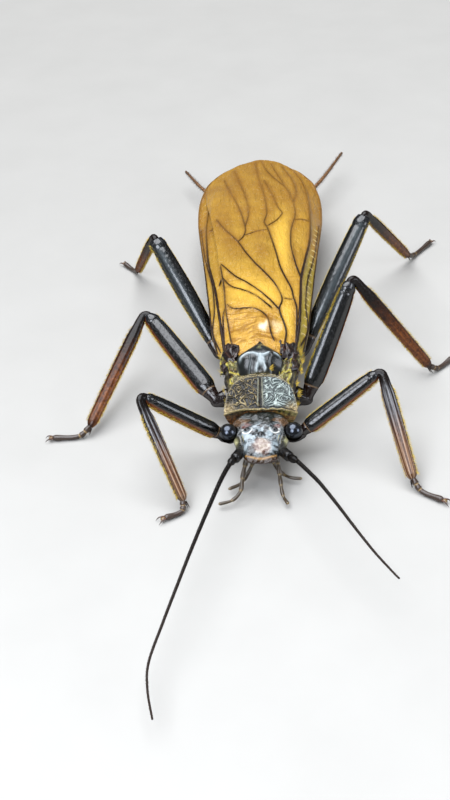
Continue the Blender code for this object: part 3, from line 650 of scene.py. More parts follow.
def makeTrunk():
    y0, y1, count = trunk["segments"]
    y = np.linspace(trunk["outline"][0][0], y1 + 0.15, trunk["rows"])
    outline = np.array(trunk["outline"])
    half, top, bottom = (eased(outline[:, [0, k]], y) for k in (1, 2, 3))
    # the abdomen's rings: each swells out and steps in where the next one slides under it
    share = np.clip((y - y0) / (y1 - y0), 0, 1)
    ringShare = (share * count) % 1.0
    swell = 0.93 + 0.07 * step(ringShare, 0.0, 0.3) - 0.05 * step(ringShare, 0.9, 1.0)
    behind = step(y, 10.7, 11.1)
    width = trunk["halfWidths"][0] + (trunk["halfWidths"][1] - trunk["halfWidths"][0]) * share**1.5
    roof = wingHeight(0.7 * width, y) - wing["layers"]["abdomen"]
    middle, tall = (roof + trunk["bottom"]) / 2, (roof - trunk["bottom"]) / 2
    tail = 1 - 0.55 * step(y, y1 - 0.9, y1 + 0.15)
    half = half * (1 - behind) + width * swell * tail * behind
    high = top * (1 - behind) + (middle + tall * swell * tail) * behind
    low = bottom * (1 - behind) + (middle - tall * swell * tail) * behind
    turn = ringTurns(trunk["around"], 0.5)
    x = half[:, None] * boxy(np.cos(turn), trunk["square"])
    z = ((high + low) / 2)[:, None] + ((high - low) / 2)[:, None] * boxy(np.sin(turn), trunk["square"])
    grid = np.stack([x, np.broadcast_to(y[:, None], x.shape), z], axis=-1)
    normal = gridNormals(grid)
    ys = grid[..., 1]
    across = normal[..., 0] ** 2
    broad, fine = ripple(grid, 1.1, 11), ripple(grid, 0.3, 12)
    thorax = 1 - step(ys, 10.6, 11.0)
    # plates of the thorax with soft folds between them
    fold = np.zeros_like(x)
    for start, end in trunk["plates"]:
        for at in (start, end):
            fold = np.maximum(fold, bell(ys - at, 0.13))
    lean = ys - 0.8 * (z - 2.6)
    for start, end in trunk["plates"]:
        fold = np.maximum(fold, across * bell(lean - (start + 0.42 * (end - start)), 0.07))
        fold = np.maximum(fold, across * bell(lean - (start + 0.78 * (end - start)), 0.06))
    fold = np.maximum(fold, across * bell(z - 3.25 - 0.15 * broad, 0.12) * (ys > 3.6)) * thorax
    pleat = bell(z - (high + low)[:, None] / 2, 0.1) * behind[:, None] * across
    rise = -0.09 * fold + thorax * (0.05 * broad * (1 - fold) + 0.015 * fine)
    rise = rise + behind[:, None] * 0.008 * fine - 0.1 * pleat
    under = step(-normal[..., 2], 0.0, 0.5)
    rise -= 0.07 * bell(np.abs(x) - 0.05, 0.1) * under * thorax
    grid = grid + normal * rise[..., None]
    joint = np.maximum(bell(ringShare - 0.97, 0.05), bell(ringShare - 0.02, 0.05))
    seam = bell(lineDistance(ys, z, trunk["seam"]), 0.07)
    masks = {
        "fold": np.clip(fold * (1 - 0.8 * step(z, 2.9, 3.3)) + 0.6 * pleat, 0, 1),
        "joint": (joint * behind)[:, None],
        "yellow": thorax * np.clip(seam * across * step(fine, -1.2, 0.2), 0, 1),
        "under": under,
        "rear": behind[:, None],
    }
    return closedPart(grid, masks)


def trunkCuticle():
    # thin body wall: hard brown-black plates, with matt yellowish skin in the folds between them
    material, shader = newMaterial("trunkCuticle", {
        "Roughness": 0.42, "IOR": 1.54, "Coat Weight": 0.25, "Coat Roughness": 0.25,
    })
    cloud = grain(material, 0.8)
    fine = grain(material, 0.15, 4)
    plate = mix(material, cloud, "#15110d", "#2c2318")
    rear = mix(material, cloud, "#4a2f16", "#6b4622")
    belly = mix(material, cloud, "#8a6634", "#b08a4c")
    base = mix(material, mask(material, "rear"), plate, rear)
    base = layer(material, base, "under", belly)
    base = layer(material, base, "joint", "#b99a5e")
    skin = mix(material, fine, "#8f7a3a", "#cdbb6a")
    base = layer(material, base, "fold", skin)
    base = layer(material, base, "yellow", mix(material, fine, "#a87a22", "#dcb84a"))
    return surface(material, shader, base, [(fine, 0.05), (cells(material, 0.09), 0.012)])


trunkNodes = ("prothorax", "mesothorax", "metathorax", "abdomen")
makePiece("trunkSkin", [makeTrunk()], [trunkCuticle()], trunkNodes)

print("shields")
shield = {  # the back plate of the first thorax ring
    "front": 1.06, "back": 3.5, "across": 250, "along": 176,
    "halfWidths": [(0, 2.25), (0.3, 2.2), (0.65, 2.05), (0.85, 1.9), (1, 1.75)],
    "sculpture": 0.42,  # distance between the wrinkles
}


def shieldPlace(u, v):
    half = eased(shield["halfWidths"], v.ravel()).reshape(v.shape)
    front = shield["front"] + 0.28 * u * u - 0.06 * bell(u, 0.3)
    back = shield["back"] - 0.5 * np.abs(u) ** 3.2
    drop = (0.62 - 0.1 * v) * np.abs(u) ** 2.6
    return np.stack([half * u, front + (back - front) * v, 3.62 + 0.98 * v - 0.16 * v**5 - drop], axis=-1)


def makeShield():
    u, v = np.meshgrid(np.linspace(-1, 1, shield["across"]), np.linspace(0, 1, shield["along"]))
    top = shieldPlace(u, v)
    normal = gridNormals(top, closed=False)
    normal = normal * np.sign(normal[..., 2:3])
    flat = top * (1, 1, 0.4)
    warp = ripple(flat, 0.9, 21)[..., None] * 0.2 + ripple(flat, 0.4, 24)[..., None] * 0.05
    a, b, c = (np.abs(flat * (0.8, 0.8, 1))[..., k] for k in range(3))  # the same wrinkles on both halves
    slanted = np.stack([(a - 0.8 * b) * 1.25, (a + b) * 0.5, c], axis=-1)
    worms = 1 - np.abs(ripple(slanted + warp, shield["sculpture"], 22)) / 0.95
    worms = np.clip(worms, 0, 1) ** 1.3
    side = np.abs(u)
    wave = 0.006 * ripple(flat, 0.5, 25)
    rim = bell(v - 0.014 - wave, 0.014) + bell(v - 0.985 + wave, 0.01)
    rim += 0.8 * bell(v - 0.925 + wave, 0.01) * (side < 0.92)
    rim += 0.5 * bell(side - 0.975 + wave, 0.01) * (v > 0.1)
    frontGroove = bell(v - 0.06 - 0.02 * bell(u, 0.3) - wave, 0.018) * (side < 0.93)
    frontGroove *= 0.35 + 0.65 * step(u, -0.45, -0.05)
    hindGroove = bell(v - 0.955 + wave, 0.012) + 0.7 * bell(v - 0.89, 0.02) * (side < 0.9)
    middle = bell(u, 0.016 + 0.012 * (1 - v)) * step(v, 0.05, 0.1) * (1 - step(v, 0.86, 0.9))
    lips = bell(side - 0.06 - 0.05 * np.clip(0.5 - v, 0, 1), 0.01)
    lips *= step(v, 0.1, 0.15) * (1 - step(v, 0.85, 0.9))
    disc = step(v, 0.07, 0.12) * (1 - step(v, 0.86, 0.9))
    disc *= step(side, 0.05, 0.1) * (1 - step(side, 0.9, 0.96))
    boss = spots(side, v, [(0.45, 0.48, 0.36, 0.34)], 0.8)
    rise = 0.045 * rim - 0.06 * frontGroove - 0.045 * hindGroove - 0.1 * middle + 0.035 * lips
    rise += disc * (0.1 * worms - 0.04) + 0.08 * boss * disc
    rise += 0.008 * ripple(flat, 0.12, 23)
    edge = np.minimum.reduce([v, 1 - v, 1 - side])
    top = top + normal * rise[..., None]
    top -= normal * (0.07 * (1 - step(edge, 0.0, 0.02)))[..., None]
    low = shieldPlace(u * 0.99, v) - normal * (0.09 + 0.14 * step(edge, 0.0, 0.12))[..., None]
    masks = {
        "worms": worms,
        "disc": disc,
        "rim": np.clip(rim, 0, 1),
        "groove": np.clip(frontGroove + middle + hindGroove, 0, 1),
        "lips": lips,
        "corner": spots(side, v, [(0.95, 0.02, 0.25, 0.25)], 0.6),
        # painted sheen: the right half is drawn lighter and blue-grey
        "pale": step(u + 0.05 * wave, -0.05, 0.2),
    }
    return sheetPart(top, low, masks)


def makeCollar():
    # the wrinkled skin that runs from the shield's front rim in towards the neck
    u, v = np.meshgrid(np.linspace(-0.97, 0.97, 200), np.linspace(0, 1, 30))
    hem = shieldPlace(u, np.full(u.shape, 0.02))
    wave = ripple(hem, 0.35, 26)
    folds = np.sin(11 * v + 9 * u + 0.8 * wave)
    hem[..., 0] *= 1 - 0.16 * v**1.5
    hem[..., 1] += 0.02 + 0.07 * v + 0.02 * wave * v + 0.02 * folds * v
    hem[..., 2] -= 0.07 + (0.34 + 0.5 * step(np.abs(u), 0.3, 0.7) + 0.04 * wave) * v
    masks = {
        "pale": step(u, 0.2, 0.5),
        # painted highlight: pale crests on the wave tops of the right side
        "crest": 0.4 * step(u, 0.4, 0.8) * step(wave, 0, 1) * (1 - v),
        "rust": step(v + 0.1 * wave, 0.2, 0.5) * (0.75 + 0.25 * folds),
    }
    return sheetPart(hem, hem + (0, 0.06, -0.01), masks, 1)


def wrinkledCuticle():
    # hard back plate, grown in worm-like wrinkles: satin charcoal, pale along the crests; its right half is
    # painted lighter blue-grey as a sheen
    material, shader = newMaterial("wrinkledCuticle", {
        "Roughness": 0.34, "IOR": 1.5, "Coat Weight": 0.15, "Coat Roughness": 0.18,
    })
    cloud = grain(material, 0.7)
    fine = grain(material, 0.09, 4)
    worms = mask(material, "worms")
    dark = mix(material, cloud, "#060605", "#14130f")
    tan = mix(material, worms, dark, mix(material, cloud, "#75633a", "#b6a478"), (0.5, 0.85))
    # painted sheen on the right half: blue-grey hollows and pale grey-white wrinkles
    sheenHollow = mix(material, cloud, "#242b2c", "#4a5452")
    sheenGrey = mix(material, worms, sheenHollow, mix(material, cloud, "#87938e", "#cdd8d2"), (0.2, 0.62))
    base = mix(material, mask(material, "pale"), tan, sheenGrey)
    base = mix(material, mask(material, "disc"), base, "#1a1710", (0.0, 1.0, 0.6, 0.0))
    base = layer(material, base, "lips", "#8c8f7c")
    base = layer(material, base, "corner", mix(material, fine, "#4a3c22", "#c0aa7c", (0.3, 0.7)))
    base = layer(material, base, "groove", "#070706")
    base = layer(material, base, "rim", mix(material, fine, "#7d6a3c", "#d8c690", (0.35, 0.65)))
    return surface(material, shader, base, [(fine, 0.035), (cells(material, 0.06), 0.012)])


def foldedSkin():
    # soft unhardened skin between the hard plates: thin, waxy, creased, honey to lemon yellow
    material, shader = newMaterial("foldedSkin", {
        "Roughness": 0.4, "IOR": 1.42, "Subsurface Weight": 0.1, "Subsurface Scale": 0.0002,
        "Coat Weight": 0.2, "Coat Roughness": 0.25,
    })
    fine = reshape(material, grain(material, 0.16, 4), 0.35, 0.65)
    honey = mix(material, fine, "#110c06", "#5f4c2a")
    lemon = mix(material, fine, "#1c1a0c", "#8d8440")
    base = mix(material, mask(material, "pale"), honey, lemon)
    base = layer(material, base, "rust", mix(material, fine, "#2a1408", "#9a6632"))
    # painted highlight on the crease tops
    base = layer(material, base, "crest", mix(material, fine, "#8a8350", "#ddd59a"))
    base = layer(material, base, "hem", mix(material, fine, "#8f7e22", "#dcc94e"))
    return surface(material, shader, base, [(fine, 0.05)])


skin = foldedSkin()
makePiece("neckShield", [makeShield(), makeCollar()], [wrinkledCuticle(), skin], ("pronotum",))

back = {  # the glossy plate of the second thorax ring, and the plates at the wing roots
    "front": 3.8, "apex": 6.28, "half": 1.42, "across": 150, "along": 150,
    "roots": [  # wing-root plates of the left side, each four corners: x, y, z
        [(1.15, 6.75, 4.62), (2.35, 6.35, 4.2), (2.12, 5.2, 4.05), (1.3, 5.6, 4.55)],
        [(1.5, 6.3, 4.72), (2.1, 6.7, 4.5), (2.35, 5.9, 4.25), (1.75, 5.5, 4.5)],
        [(1.9, 5.3, 4.2), (2.4, 5.5, 3.9), (2.35, 4.6, 3.75), (1.85, 4.6, 4.05)],
    ],
    "skins": [  # pads of folded skin in front of them
        [(1.05, 4.9, 4.35), (1.95, 5.35, 4.25), (2.1, 4.6, 3.9), (1.15, 4.05, 4.0)],
        [(0.9, 3.95, 4.12), (1.75, 4.2, 3.95), (1.85, 3.45, 3.7), (1.2, 3.45, 3.9)],
        [(2.05, 5.2, 3.95), (2.35, 6.9, 4.0), (2.55, 6.8, 3.7), (2.4, 4.6, 3.55)],
    ],
}


def backPlace(u, v):
    # widest a third of the way back, drawn to a point behind; its front rises steeply
    breadth = eased([(0, 0.66), (0.12, 0.88), (0.38, 1.0), (0.6, 0.86), (0.85, 0.4), (1.0, 0.03)], v.ravel())
    half = back["half"] * breadth
    crown = eased([(0, 4.12), (0.1, 4.42), (0.25, 4.82), (0.4, 5.04), (0.6, 5.06), (1.0, 4.92)], v.ravel())
    y = back["front"] + (back["apex"] - back["front"]) * v
    return np.stack([half.reshape(v.shape) * u, y, crown.reshape(v.shape) - 0.46 * np.abs(u) ** 2.4], axis=-1)


def makeBackPlate():
    u, v = np.meshgrid(np.linspace(-1, 1, back["across"]), np.linspace(0, 1, back["along"]))
    top = backPlace(u, v)
    side = np.abs(u)
    wander = 0.02 * ripple(top, 1.2, 34)
    # gull-wing fold between the front lobes and the hind shield, and the forked ridge before it
    gull = 0.38 + 0.05 * np.cos((side - 0.5) * 2 * pi) - 0.1 * np.clip(side - 0.75, 0, 1)
    fold = bell(v - gull - wander, 0.045) * (1 - step(side, 0.8, 0.95))
    fork = lineDistance(u, v, [(-0.22, 0.02), (-0.05, 0.24), (0.03, 0.36)])
    fork = np.minimum(fork, lineDistance(u, v, [(0.3, 0.1), (0.12, 0.25), (0.03, 0.36)]))
    stem = np.maximum(bell(fork, 0.06), spots(u, v, [(0.08, 0.24, 0.14, 0.08)], 0.5)) * (v < gull + 0.05)
    crease = bell(lineDistance(side, v, [(0.62, 0.02), (0.42, 0.2), (0.45, gull.mean())]), 0.03)
    scutellum = spots(u, v, [(0, 0.62, 0.55, 0.16)], 0.7)
    lobes = spots(side, v, [(0.6, 0.24, 0.3, 0.16)], 0.8)
    rise = 0.07 * fold + 0.06 * stem - 0.06 * crease + 0.05 * scutellum + 0.1 * lobes
    rise += 0.012 * ripple(top, 0.55, 31)
    edge = np.minimum.reduce([v, 1 - v, (1 - side) * 0.7])
    top[..., 2] += rise - 0.14 * (1 - step(edge, 0, 0.03))
    low = backPlace(u * 0.99, v)
    low[..., 2] -= 0.3
    shine = ripple(top * (1, 0.5, 1), 0.4, 35)
    masks = {
        # painted highlight: pale blue-grey along the gull-wing fold, the forked ridge and the creases
        "crest": np.clip(fold + stem + 0.25 * crease, 0, 1) * step(shine, -1.6, -0.2),
        "mottle": spots(u, v, [(0, 0.72, 0.5, 0.12)], 0.6) * step(shine, 0.2, 1.0),
        "apex": np.clip(bell(side - 0.97, 0.05) * (v > 0.5) + step(v, 0.96, 0.99), 0, 1),
        "front": 1 - step(v, 0.02, 0.08),
    }
    return sheetPart(top, low, masks)


def makePad(corners, sign, seed, rows, relief, slot):
    # a creased pad over four corners, turned down all round its rim
    u, v = np.meshgrid(np.linspace(0, 1, rows), np.linspace(0, 1, rows))
    a, b, c, d = (np.array(corner) for corner in corners)
    u3, v3 = u[..., None], v[..., None]
    top = (a * (1 - u3) + b * u3) * (1 - v3) + (d * (1 - u3) + c * u3) * v3
    crumple = ripple(top * (1, 0.6, 1), 0.38, seed)
    crease = 1 - np.abs(ripple(top * (1.3, 0.6, 1), 0.55, seed + 1))
    edge = np.minimum.reduce([u, 1 - u, v, 1 - v])
    top[..., :2] += (0.08 * (1 - step(edge, 0, 0.3)) * crumple)[..., None]
    ridges = 1.2 * relief * np.clip(crease, 0, 1) ** 3
    top[..., 2] += 0.12 * step(edge, 0, 0.2) - 0.1 + relief * crumple + ridges
    low = top * 1
    low[..., 2] -= 0.1 + 0.2 * step(edge, 0, 0.2)
    masks = {
        # painted highlight: pale along the tops of the creases
        "crest": np.clip(crease, 0, 1) ** 7,
        "pale": step(crumple, -1.0, 0.8),
        "hem": bell(edge - 0.09, 0.035),
    }
    flip = (sign, 1, 1)
    return sheetPart(top * flip, low * flip, masks, slot)


def makeRoots():
    parts = []
    for sign in sides.values():
        for word, seed, rows, relief, slot in (("roots", 60, 38, 0.025, 1), ("skins", 70, 46, 0.035, 2)):
            for number, corners in enumerate(back[word]):
                parts.append(makePad(corners, sign, seed + 2 * number + (sign > 0), rows, relief, slot))
    return parts


def polishedCuticle():
    # hard back plate, grown smooth: black with a deep lacquer-like gloss and painted pale highlights along
    # its fold and ridges
    material, shader = newMaterial("polishedCuticle", {
        "Roughness": 0.3, "IOR": 1.5, "Coat Weight": 0.2, "Coat Roughness": 0.14,
    })
    cloud = grain(material, 0.4)
    base = mix(material, cloud, "#060707", "#131816")
    base = layer(material, base, "mottle", "#5c5a34")
    # painted highlight along the fold and the forked ridge
    base = layer(material, base, "crest", mix(material, cloud, "#78868a", "#c2cccd"))
    base = layer(material, base, "front", "#3a3418")
    base = layer(material, base, "apex", "#c4b03a")
    return surface(material, shader, base, [(cells(material, 0.06), 0.004)])


def maroonCuticle():
    # hinge plates at the wing roots, hardened and red-brown, with a varnished look
    material, shader = newMaterial("maroonCuticle", {
        "Roughness": 0.34, "IOR": 1.5, "Coat Weight": 0.2, "Coat Roughness": 0.12,
    })
    cloud = grain(material, 0.35)
    base = mix(material, cloud, "#040101", "#1e0907", (0.3, 0.7))
    # painted highlight: paler red-brown along the crease tops
    base = layer(material, base, "crest", mix(material, cloud, "#26110b", "#6e4a38"))
    return surface(material, shader, base, [(cloud, 0.05)])


backMaterials = [polishedCuticle(), maroonCuticle(), skin]
makePiece("backPlates", [makeBackPlate()] + makeRoots(), backMaterials, ())

print("wings")
wing["anal"] = [(0.9, 5.2), (-0.6, 5.25), (-1.35, 5.7), (-1.8, 6.8), (-2.1, 9.0), (-2.3, 10.8), (-2.45, 13.0)]
# the rest of the left forewing's edge, from its hind corner round its tip to the front edge
wing["margin"] = [
    (-2.45, 13.0), (-2.8, 16.3), (-3.2, 20.0), (-3.7, 24.0), (-4.1, 27.0), (-3.95, 29.3), (-3.05, 30.95),
    (-1.5, 32.0), (0.3, 32.42), (1.9, 32.05), (3.15, 30.9),
]
# patches of painted light, brighter yellow: x, y, half width, half length
wing["glow"] = [(1.6, 19.0, 0.5, 4.0), (0.3, 11.8, 1.6, 1.6), (-1.1, 12.6, 0.8, 1.4), (1.7, 9.2, 0.5, 2.2)]
wing["bosses"] = [(0.16, (0.35, 8.5, 0.42, 0.5)), (0.1, (-1.5, 7.4, 0.3, 0.5))]  # height, then place and size
wing["rows"], wing["columns"] = 210, 90
fan = {  # a folded hindwing
    "rows": 100, "columns": 120, "pleats": 9, "root": 7.3, "tip": 30.6,
    "inner": 0.35, "depth": 0.13, "thick": 0.04,
}
veins = {
    # points, width at the root and at the end; the left forewing, which lies on top
    "radius": ([(2.1, 6.4), (2.23, 6.73), (2.53, 9.12), (2.7, 12.14), (2.81, 14.37), (3.19, 17.03),
                (3.54, 19.46), (3.69, 22.41), (3.65, 25.75), (3.45, 28.3), (2.95, 30.2),
                (2.4, 31.5)], 0.26, 0.1),
    "subcosta": ([(2.52, 7.11), (3.06, 9.09), (3.01, 11.35), (3.24, 14.51), (3.79, 17.85), (4.1, 20.5),
                  (4.35, 23.0)], 0.1, 0.05),
    "costa": ([(2.7, 6.9), (3.17, 9.6), (3.5, 12.9), (3.77, 16.0), (4.12, 19.0), (4.37, 21.5), (4.6, 24.5),
               (4.55, 27.2), (4.05, 29.4), (3.12, 30.85)], 0.13, 0.06),
    "sector": ([(2.76, 14.37), (2.46, 16.05), (2.21, 18.31), (2.26, 20.65), (2.59, 22.88), (2.61, 24.04),
                (2.37, 25.84), (1.75, 28.58), (1.2, 30.6), (0.9, 32.0)], 0.13, 0.06),
    "sectorFork": ([(2.5, 25.0), (2.75, 26.6), (2.6, 28.6), (2.05, 30.7), (1.75, 31.6)], 0.09, 0.05),
    "sectorInner": ([(2.0, 27.6), (1.15, 29.2), (0.45, 30.9), (0.2, 32.2)], 0.08, 0.05),
    "media": ([(2.1, 6.5), (2.23, 6.9), (2.4, 10.17), (2.22, 11.55), (2.08, 12.81), (1.44, 15.28),
               (1.08, 17.86), (0.61, 20.76), (0.35, 21.9), (0.54, 23.41), (0.35, 26.0), (-0.05, 29.0),
               (-0.35, 32.15)], 0.14, 0.06),
    "mediaFork": ([(0.62, 21.32), (1.27, 22.21), (1.66, 23.33), (1.39, 24.13), (0.95, 26.2), (0.35, 28.9)],
                  0.08, 0.05),
    "cubitus": ([(1.55, 6.6), (1.66, 8.0), (1.28, 9.93), (1.47, 11.28), (0.99, 13.19), (0.23, 14.86),
                 (-0.29, 15.89), (-1.01, 17.65), (-1.52, 19.09), (-2.51, 21.16), (-3.2, 23.0)], 0.14, 0.06),
    "cubitusFork": ([(-1.52, 19.09), (-1.12, 19.96), (-1.04, 21.25), (-1.5, 24.2), (-2.3, 27.4),
                     (-2.8, 29.9)], 0.08, 0.05),
    "cubitusInner": ([(-1.04, 21.25), (-0.8, 23.4), (-1.1, 26.4), (-1.7, 29.4), (-2.0, 31.2)], 0.07, 0.05),
    "anal1": ([(1.28, 9.93), (0.63, 11.18), (-0.2, 12.47), (-0.89, 13.46), (-1.67, 14.48), (-2.7, 16.4)],
              0.12, 0.06),
    "anal1Fork": ([(0.79, 10.11), (-0.2, 11.53), (-1.05, 12.44), (-1.91, 13.21), (-2.6, 14.7)], 0.1, 0.05),
    "anal2": ([(0.9, 6.6), (0.72, 7.34), (0.53, 8.79), (0.21, 9.54), (-0.37, 10.02), (-1.03, 10.21),
               (-1.73, 10.33), (-2.3, 11.1)], 0.12, 0.05),
    "analEdge": ([(-1.38, 5.85), (-1.75, 6.8), (-2.04, 9.0), (-2.23, 10.8), (-2.36, 13.0), (-2.7, 16.2)],
                 0.07, 0.05),
    "crossA": ([(1.51, 11.36), (1.9, 11.28), (2.22, 11.39)], 0.08, 0.07),
    "crossB": ([(2.5, 22.3), (3.1, 22.5), (3.68, 22.3)], 0.05, 0.05),
    "crossC": ([(-1.12, 19.96), (-0.3, 20.4), (0.6, 20.7)], 0.04, 0.04),
}
rightVeins = {
    "radius": [(-2.1, 6.4), (-2.24, 6.96), (-2.7, 10.91), (-3.05, 14.08), (-3.59, 17.47), (-3.81, 20.15),
               (-3.95, 22.96), (-3.85, 25.9), (-3.5, 28.6), (-2.9, 30.4), (-2.3, 31.5)],
    "costa": [(-2.7, 6.9), (-3.16, 9.44), (-3.36, 11.72), (-3.88, 15.78), (-4.2, 19.27), (-4.38, 21.6),
              (-4.6, 24.5), (-4.55, 27.2), (-4.05, 29.4), (-3.12, 30.85)],
}


def wingOutline(mirrored=1):
    front = smoothPath(wing["costa"], 160)
    rear = smoothPath(wing["anal"] + wing["margin"][1:], 160)
    return front * (mirrored, 1), rear * (mirrored, 1)


def wingLevel(x, y, sign):
    # the height of a forewing's upper face; the right one lies lower, except for its bent front strip
    height = wingHeight(x, y) - 0.24 * (1 - step(y, 5.5, 6.7))  # its root dives under the back plate
    if sign < 0:
        height = height - wing["layers"]["forewingRight"] * (1 - stripShare(x, y))
    return height


def veinPaths(sign):
    # every vein as (points, half widths), in the place of that wing
    paths = {}
    for name, (line, wide, narrow) in veins.items():
        line = np.array(line) * (sign, 1)
        if sign < 0 and name in rightVeins:
            line = np.array(rightVeins[name])
        path = smoothPath(line, max(int(np.sum(pathSteps(line)) / 0.12), 8))
        path[:, 0] = np.clip(path[:, 0], 0.03 - costaLine(path[:, 1]), costaLine(path[:, 1]) - 0.03)
        paths[name] = (path, np.linspace(wide / 2, narrow / 2, len(path)))
    for number, at in enumerate(np.arange(8.4, 22.4, 0.78)):  # short cross veins in the front strip
        edge, rim = radiusLine(at), costaLine(at)
        middle = edge + (rim - edge) * 0.62
        line = np.array([(middle - 0.13, at), (middle, at + 0.05), (middle + 0.13, at + 0.04)])
        if sign > 0:
            paths[f"strip{number}"] = (smoothPath(line, 8), np.full(8, 0.045))
    return paths


def makeForewing(sign):
    front, rear = wingOutline(sign)
    share = np.linspace(0, 1, wing["columns"])[None, :, None]
    # rows join matching places of the front edge and the hind edge, bunched together towards the tip
    rows = np.linspace(0, 1, wing["rows"]) ** 0.97
    a, b = (readOff(rows, np.linspace(0, 1, len(edge)), edge) for edge in (front, rear))
    plan = a[:, None] * (1 - share) + b[:, None] * share
    x, y = plan[..., 0], plan[..., 1]
    near, dash = np.full(x.shape, 9.0), np.full(x.shape, 9.0)
    for name, (path, _) in veinPaths(sign).items():
        away = lineDistance(x, y, path[::3])
        if name.startswith("strip"):
            dash = np.minimum(dash, away)
        else:
            near = np.minimum(near, away)
    flat = np.stack([x, y, 0 * x], axis=-1)
    wave, crinkle = ripple(flat * (1, 0.35, 1), 1.5, 41), ripple(flat * (1, 0.5, 1), 0.5, 42)
    root = 1 - step(y, 7.5, 12.0)
    height = wingLevel(x, y, sign) + 0.05 * (1 - bell(near, 0.45)) + 0.022 * wave
    height += (0.007 + 0.008 * root) * crinkle
    across = x * sign
    for rise, place in wing["bosses"]:
        height += rise * spots(across, y, [place], 0.8)
    height += 0.05 * bell(near, 0.1)
    # painted highlight: where the glint on the blisters near the root lies
    glintPatch = 0.9 * spots(across + 0.1 * crinkle, y + 0.14 * wave, [(0.36, 8.1, 0.28, 0.4)], 0.6)
    glintPatch += 0.4 * spots(across + 0.16 * crinkle, y, [(1.12, 8.1, 0.3, 0.6)], 0.7)
    top = np.stack([x, y, height], axis=-1)
    low = top - (0, 0, wing["thickness"])
    masks = {
        "vein": bell(near, 0.05) * (1 - 0.65 * step(y, 15.0, 28.0)),
        "stain": bell(near, 0.22),
        # painted highlight: pale ticks on the cross veins of the front strip
        "dash": bell(dash, 0.045) * (stripShare(x, y) > 0),
        "strip": (0.65 + 0.35 * sign) * step(stripShare(x, y), 0.02, 0.2) * (1 - step(y, 19.0, 27.0)),
        "base": 1 - step(y + 0.8 * wave, 8.0, 16.0),
        "tip": step(y + 1.5 * wave, 13.0, 25.0),
        "shine": (1 - bell(near, 0.1)) * glintPatch,
        "glow": spots(across, y, wing["glow"], 0.8),
    }
    return sheetPart(top, low, masks)


def makeVeins(sign):
    parts = []
    for name, (path, half) in veinPaths(sign).items():
        x, y = path[:, 0], path[:, 1]
        inStrip = name.startswith("strip")
        lift = 0.03 if inStrip else 0.05
        line = np.column_stack([x, y, wingLevel(x, y, sign) + lift + 0.01])
        taper = np.minimum(1, np.minimum(np.arange(len(x)) + 1, len(x) - np.arange(len(x))) / 2.5)
        knots = 1 + 0.08 * ripple(line, 0.5, 44)
        far = step(line[:, 1], 15.0, 28.0)
        thick = 2 * half * taper * knots * (0.8 - 0.25 * far)
        grid = limbGrid(line, (0, 0, 1), thick, 0.85 * thick, 10)
        parts.append(closedPart(grid, {"dash": float(inStrip), "tip": far[:, None]}, 1))
    return parts


def makeHindwing(sign, level):
    # folded like a fan: narrow pleats run from the root to the hind edge
    v = np.linspace(0, 1, fan["rows"])[:, None]
    u = np.linspace(0, 1, fan["columns"])[None, :]
    y = fan["root"] + (fan["tip"] - fan["root"]) * v * np.ones_like(u)
    bow = 1 - (2 * np.maximum(v - 0.72, 0)) ** 2 * 2.2
    outer = (radiusLine(y) - 0.45) * np.minimum(bow, 1)
    x = sign * (-fan["inner"] + (outer + fan["inner"]) * u)
    y = y + 0.25 * np.sin(u * pi) * v
    zigzag = 2 / pi * np.arcsin(np.sin(u * fan["pleats"] * pi))
    z = wingHeight(x, y) - level + fan["depth"] * step(v, 0.0, 0.12) * zigzag
    top = np.stack([x, y, z], axis=-1)
    masks = {
        "vein": bell(np.abs(zigzag) - 1, 0.2),
        "stain": 0.5 * bell(np.abs(zigzag) - 1, 0.5),
        "base": 1 - step(y, 8.0, 16.0),
        "tip": step(y, 17.0, 31.5),
    }
    return sheetPart(top, top - (0, 0, fan["thick"]), masks)


def wingMembrane(name, warm, deep, pale):
    # two thin layers of clear cuticle pressed together: smoky amber, wrinkled as cellophane, varnish gloss
    material, shader = newMaterial(name, {"Roughness": 0.3, "IOR": 1.45, "Specular IOR Level": 0.4})
    cloud = grain(material, 2.2)
    smoke = grain(material, 5.0, 2, 0.5, distortion=0.8)
    streak = grain(material, 0.55, 4, 0.6, (1.6, 0.35, 1))
    crumple = grain(material, 0.7, 3, 0.6, (0.5, 1.5, 1), 1.2)
    crackle = cells(material, 0.3, "DISTANCE_TO_EDGE", (1, 0.55, 1))
    base = mix(material, streak, deep, warm, (0.3, 0.7))
    base = mix(material, cloud, base, pale, (0.35, 0.75, 0.0, 0.45))
    tip = mask(material, "tip")
    base = mix(material, smoke, base, mix(material, tip, deep, "#7c5618"), (0.4, 0.62, 0.0, 0.55))
    base = mix(material, tip, base, "#865a1e", (0.0, 1.0, 0.0, 0.5))
    root = mask(material, "base")
    folds = mix(material, crumple, "#8a5c1c", "#c89a44", (0.42, 0.6))  # crumpled and more orange
    base = mix(material, root, base, folds, (0.0, 1.0, 0.0, 0.75))
    # painted light: brighter yellow patches of the membrane
    base = layer(material, base, "glow", mix(material, streak, "#c89a32", "#dcb448"))
    base = layer(material, base, "shine", "#f6e8c0")  # painted highlight: a pale cream spot on a blister near the root
    strip = mix(material, tip, mix(material, streak, "#9a8630", "#c8b44a"), "#a0742e")
    base = layer(material, base, "strip", strip)
    base = layer(material, base, "stain", "#6a3604", 0.35)
    # painted highlight on the strip's cross veins
    base = layer(material, base, "dash", "#e8d28a")
    base = layer(material, base, "vein", "#2c1808")
    lines = reshape(material, crackle, 0.0, 0.12)
    creased = mix(material, root, streak, crumple)
    return surface(material, shader, base, [(streak, 0.08), (creased, 0.1), (lines, 0.015)])


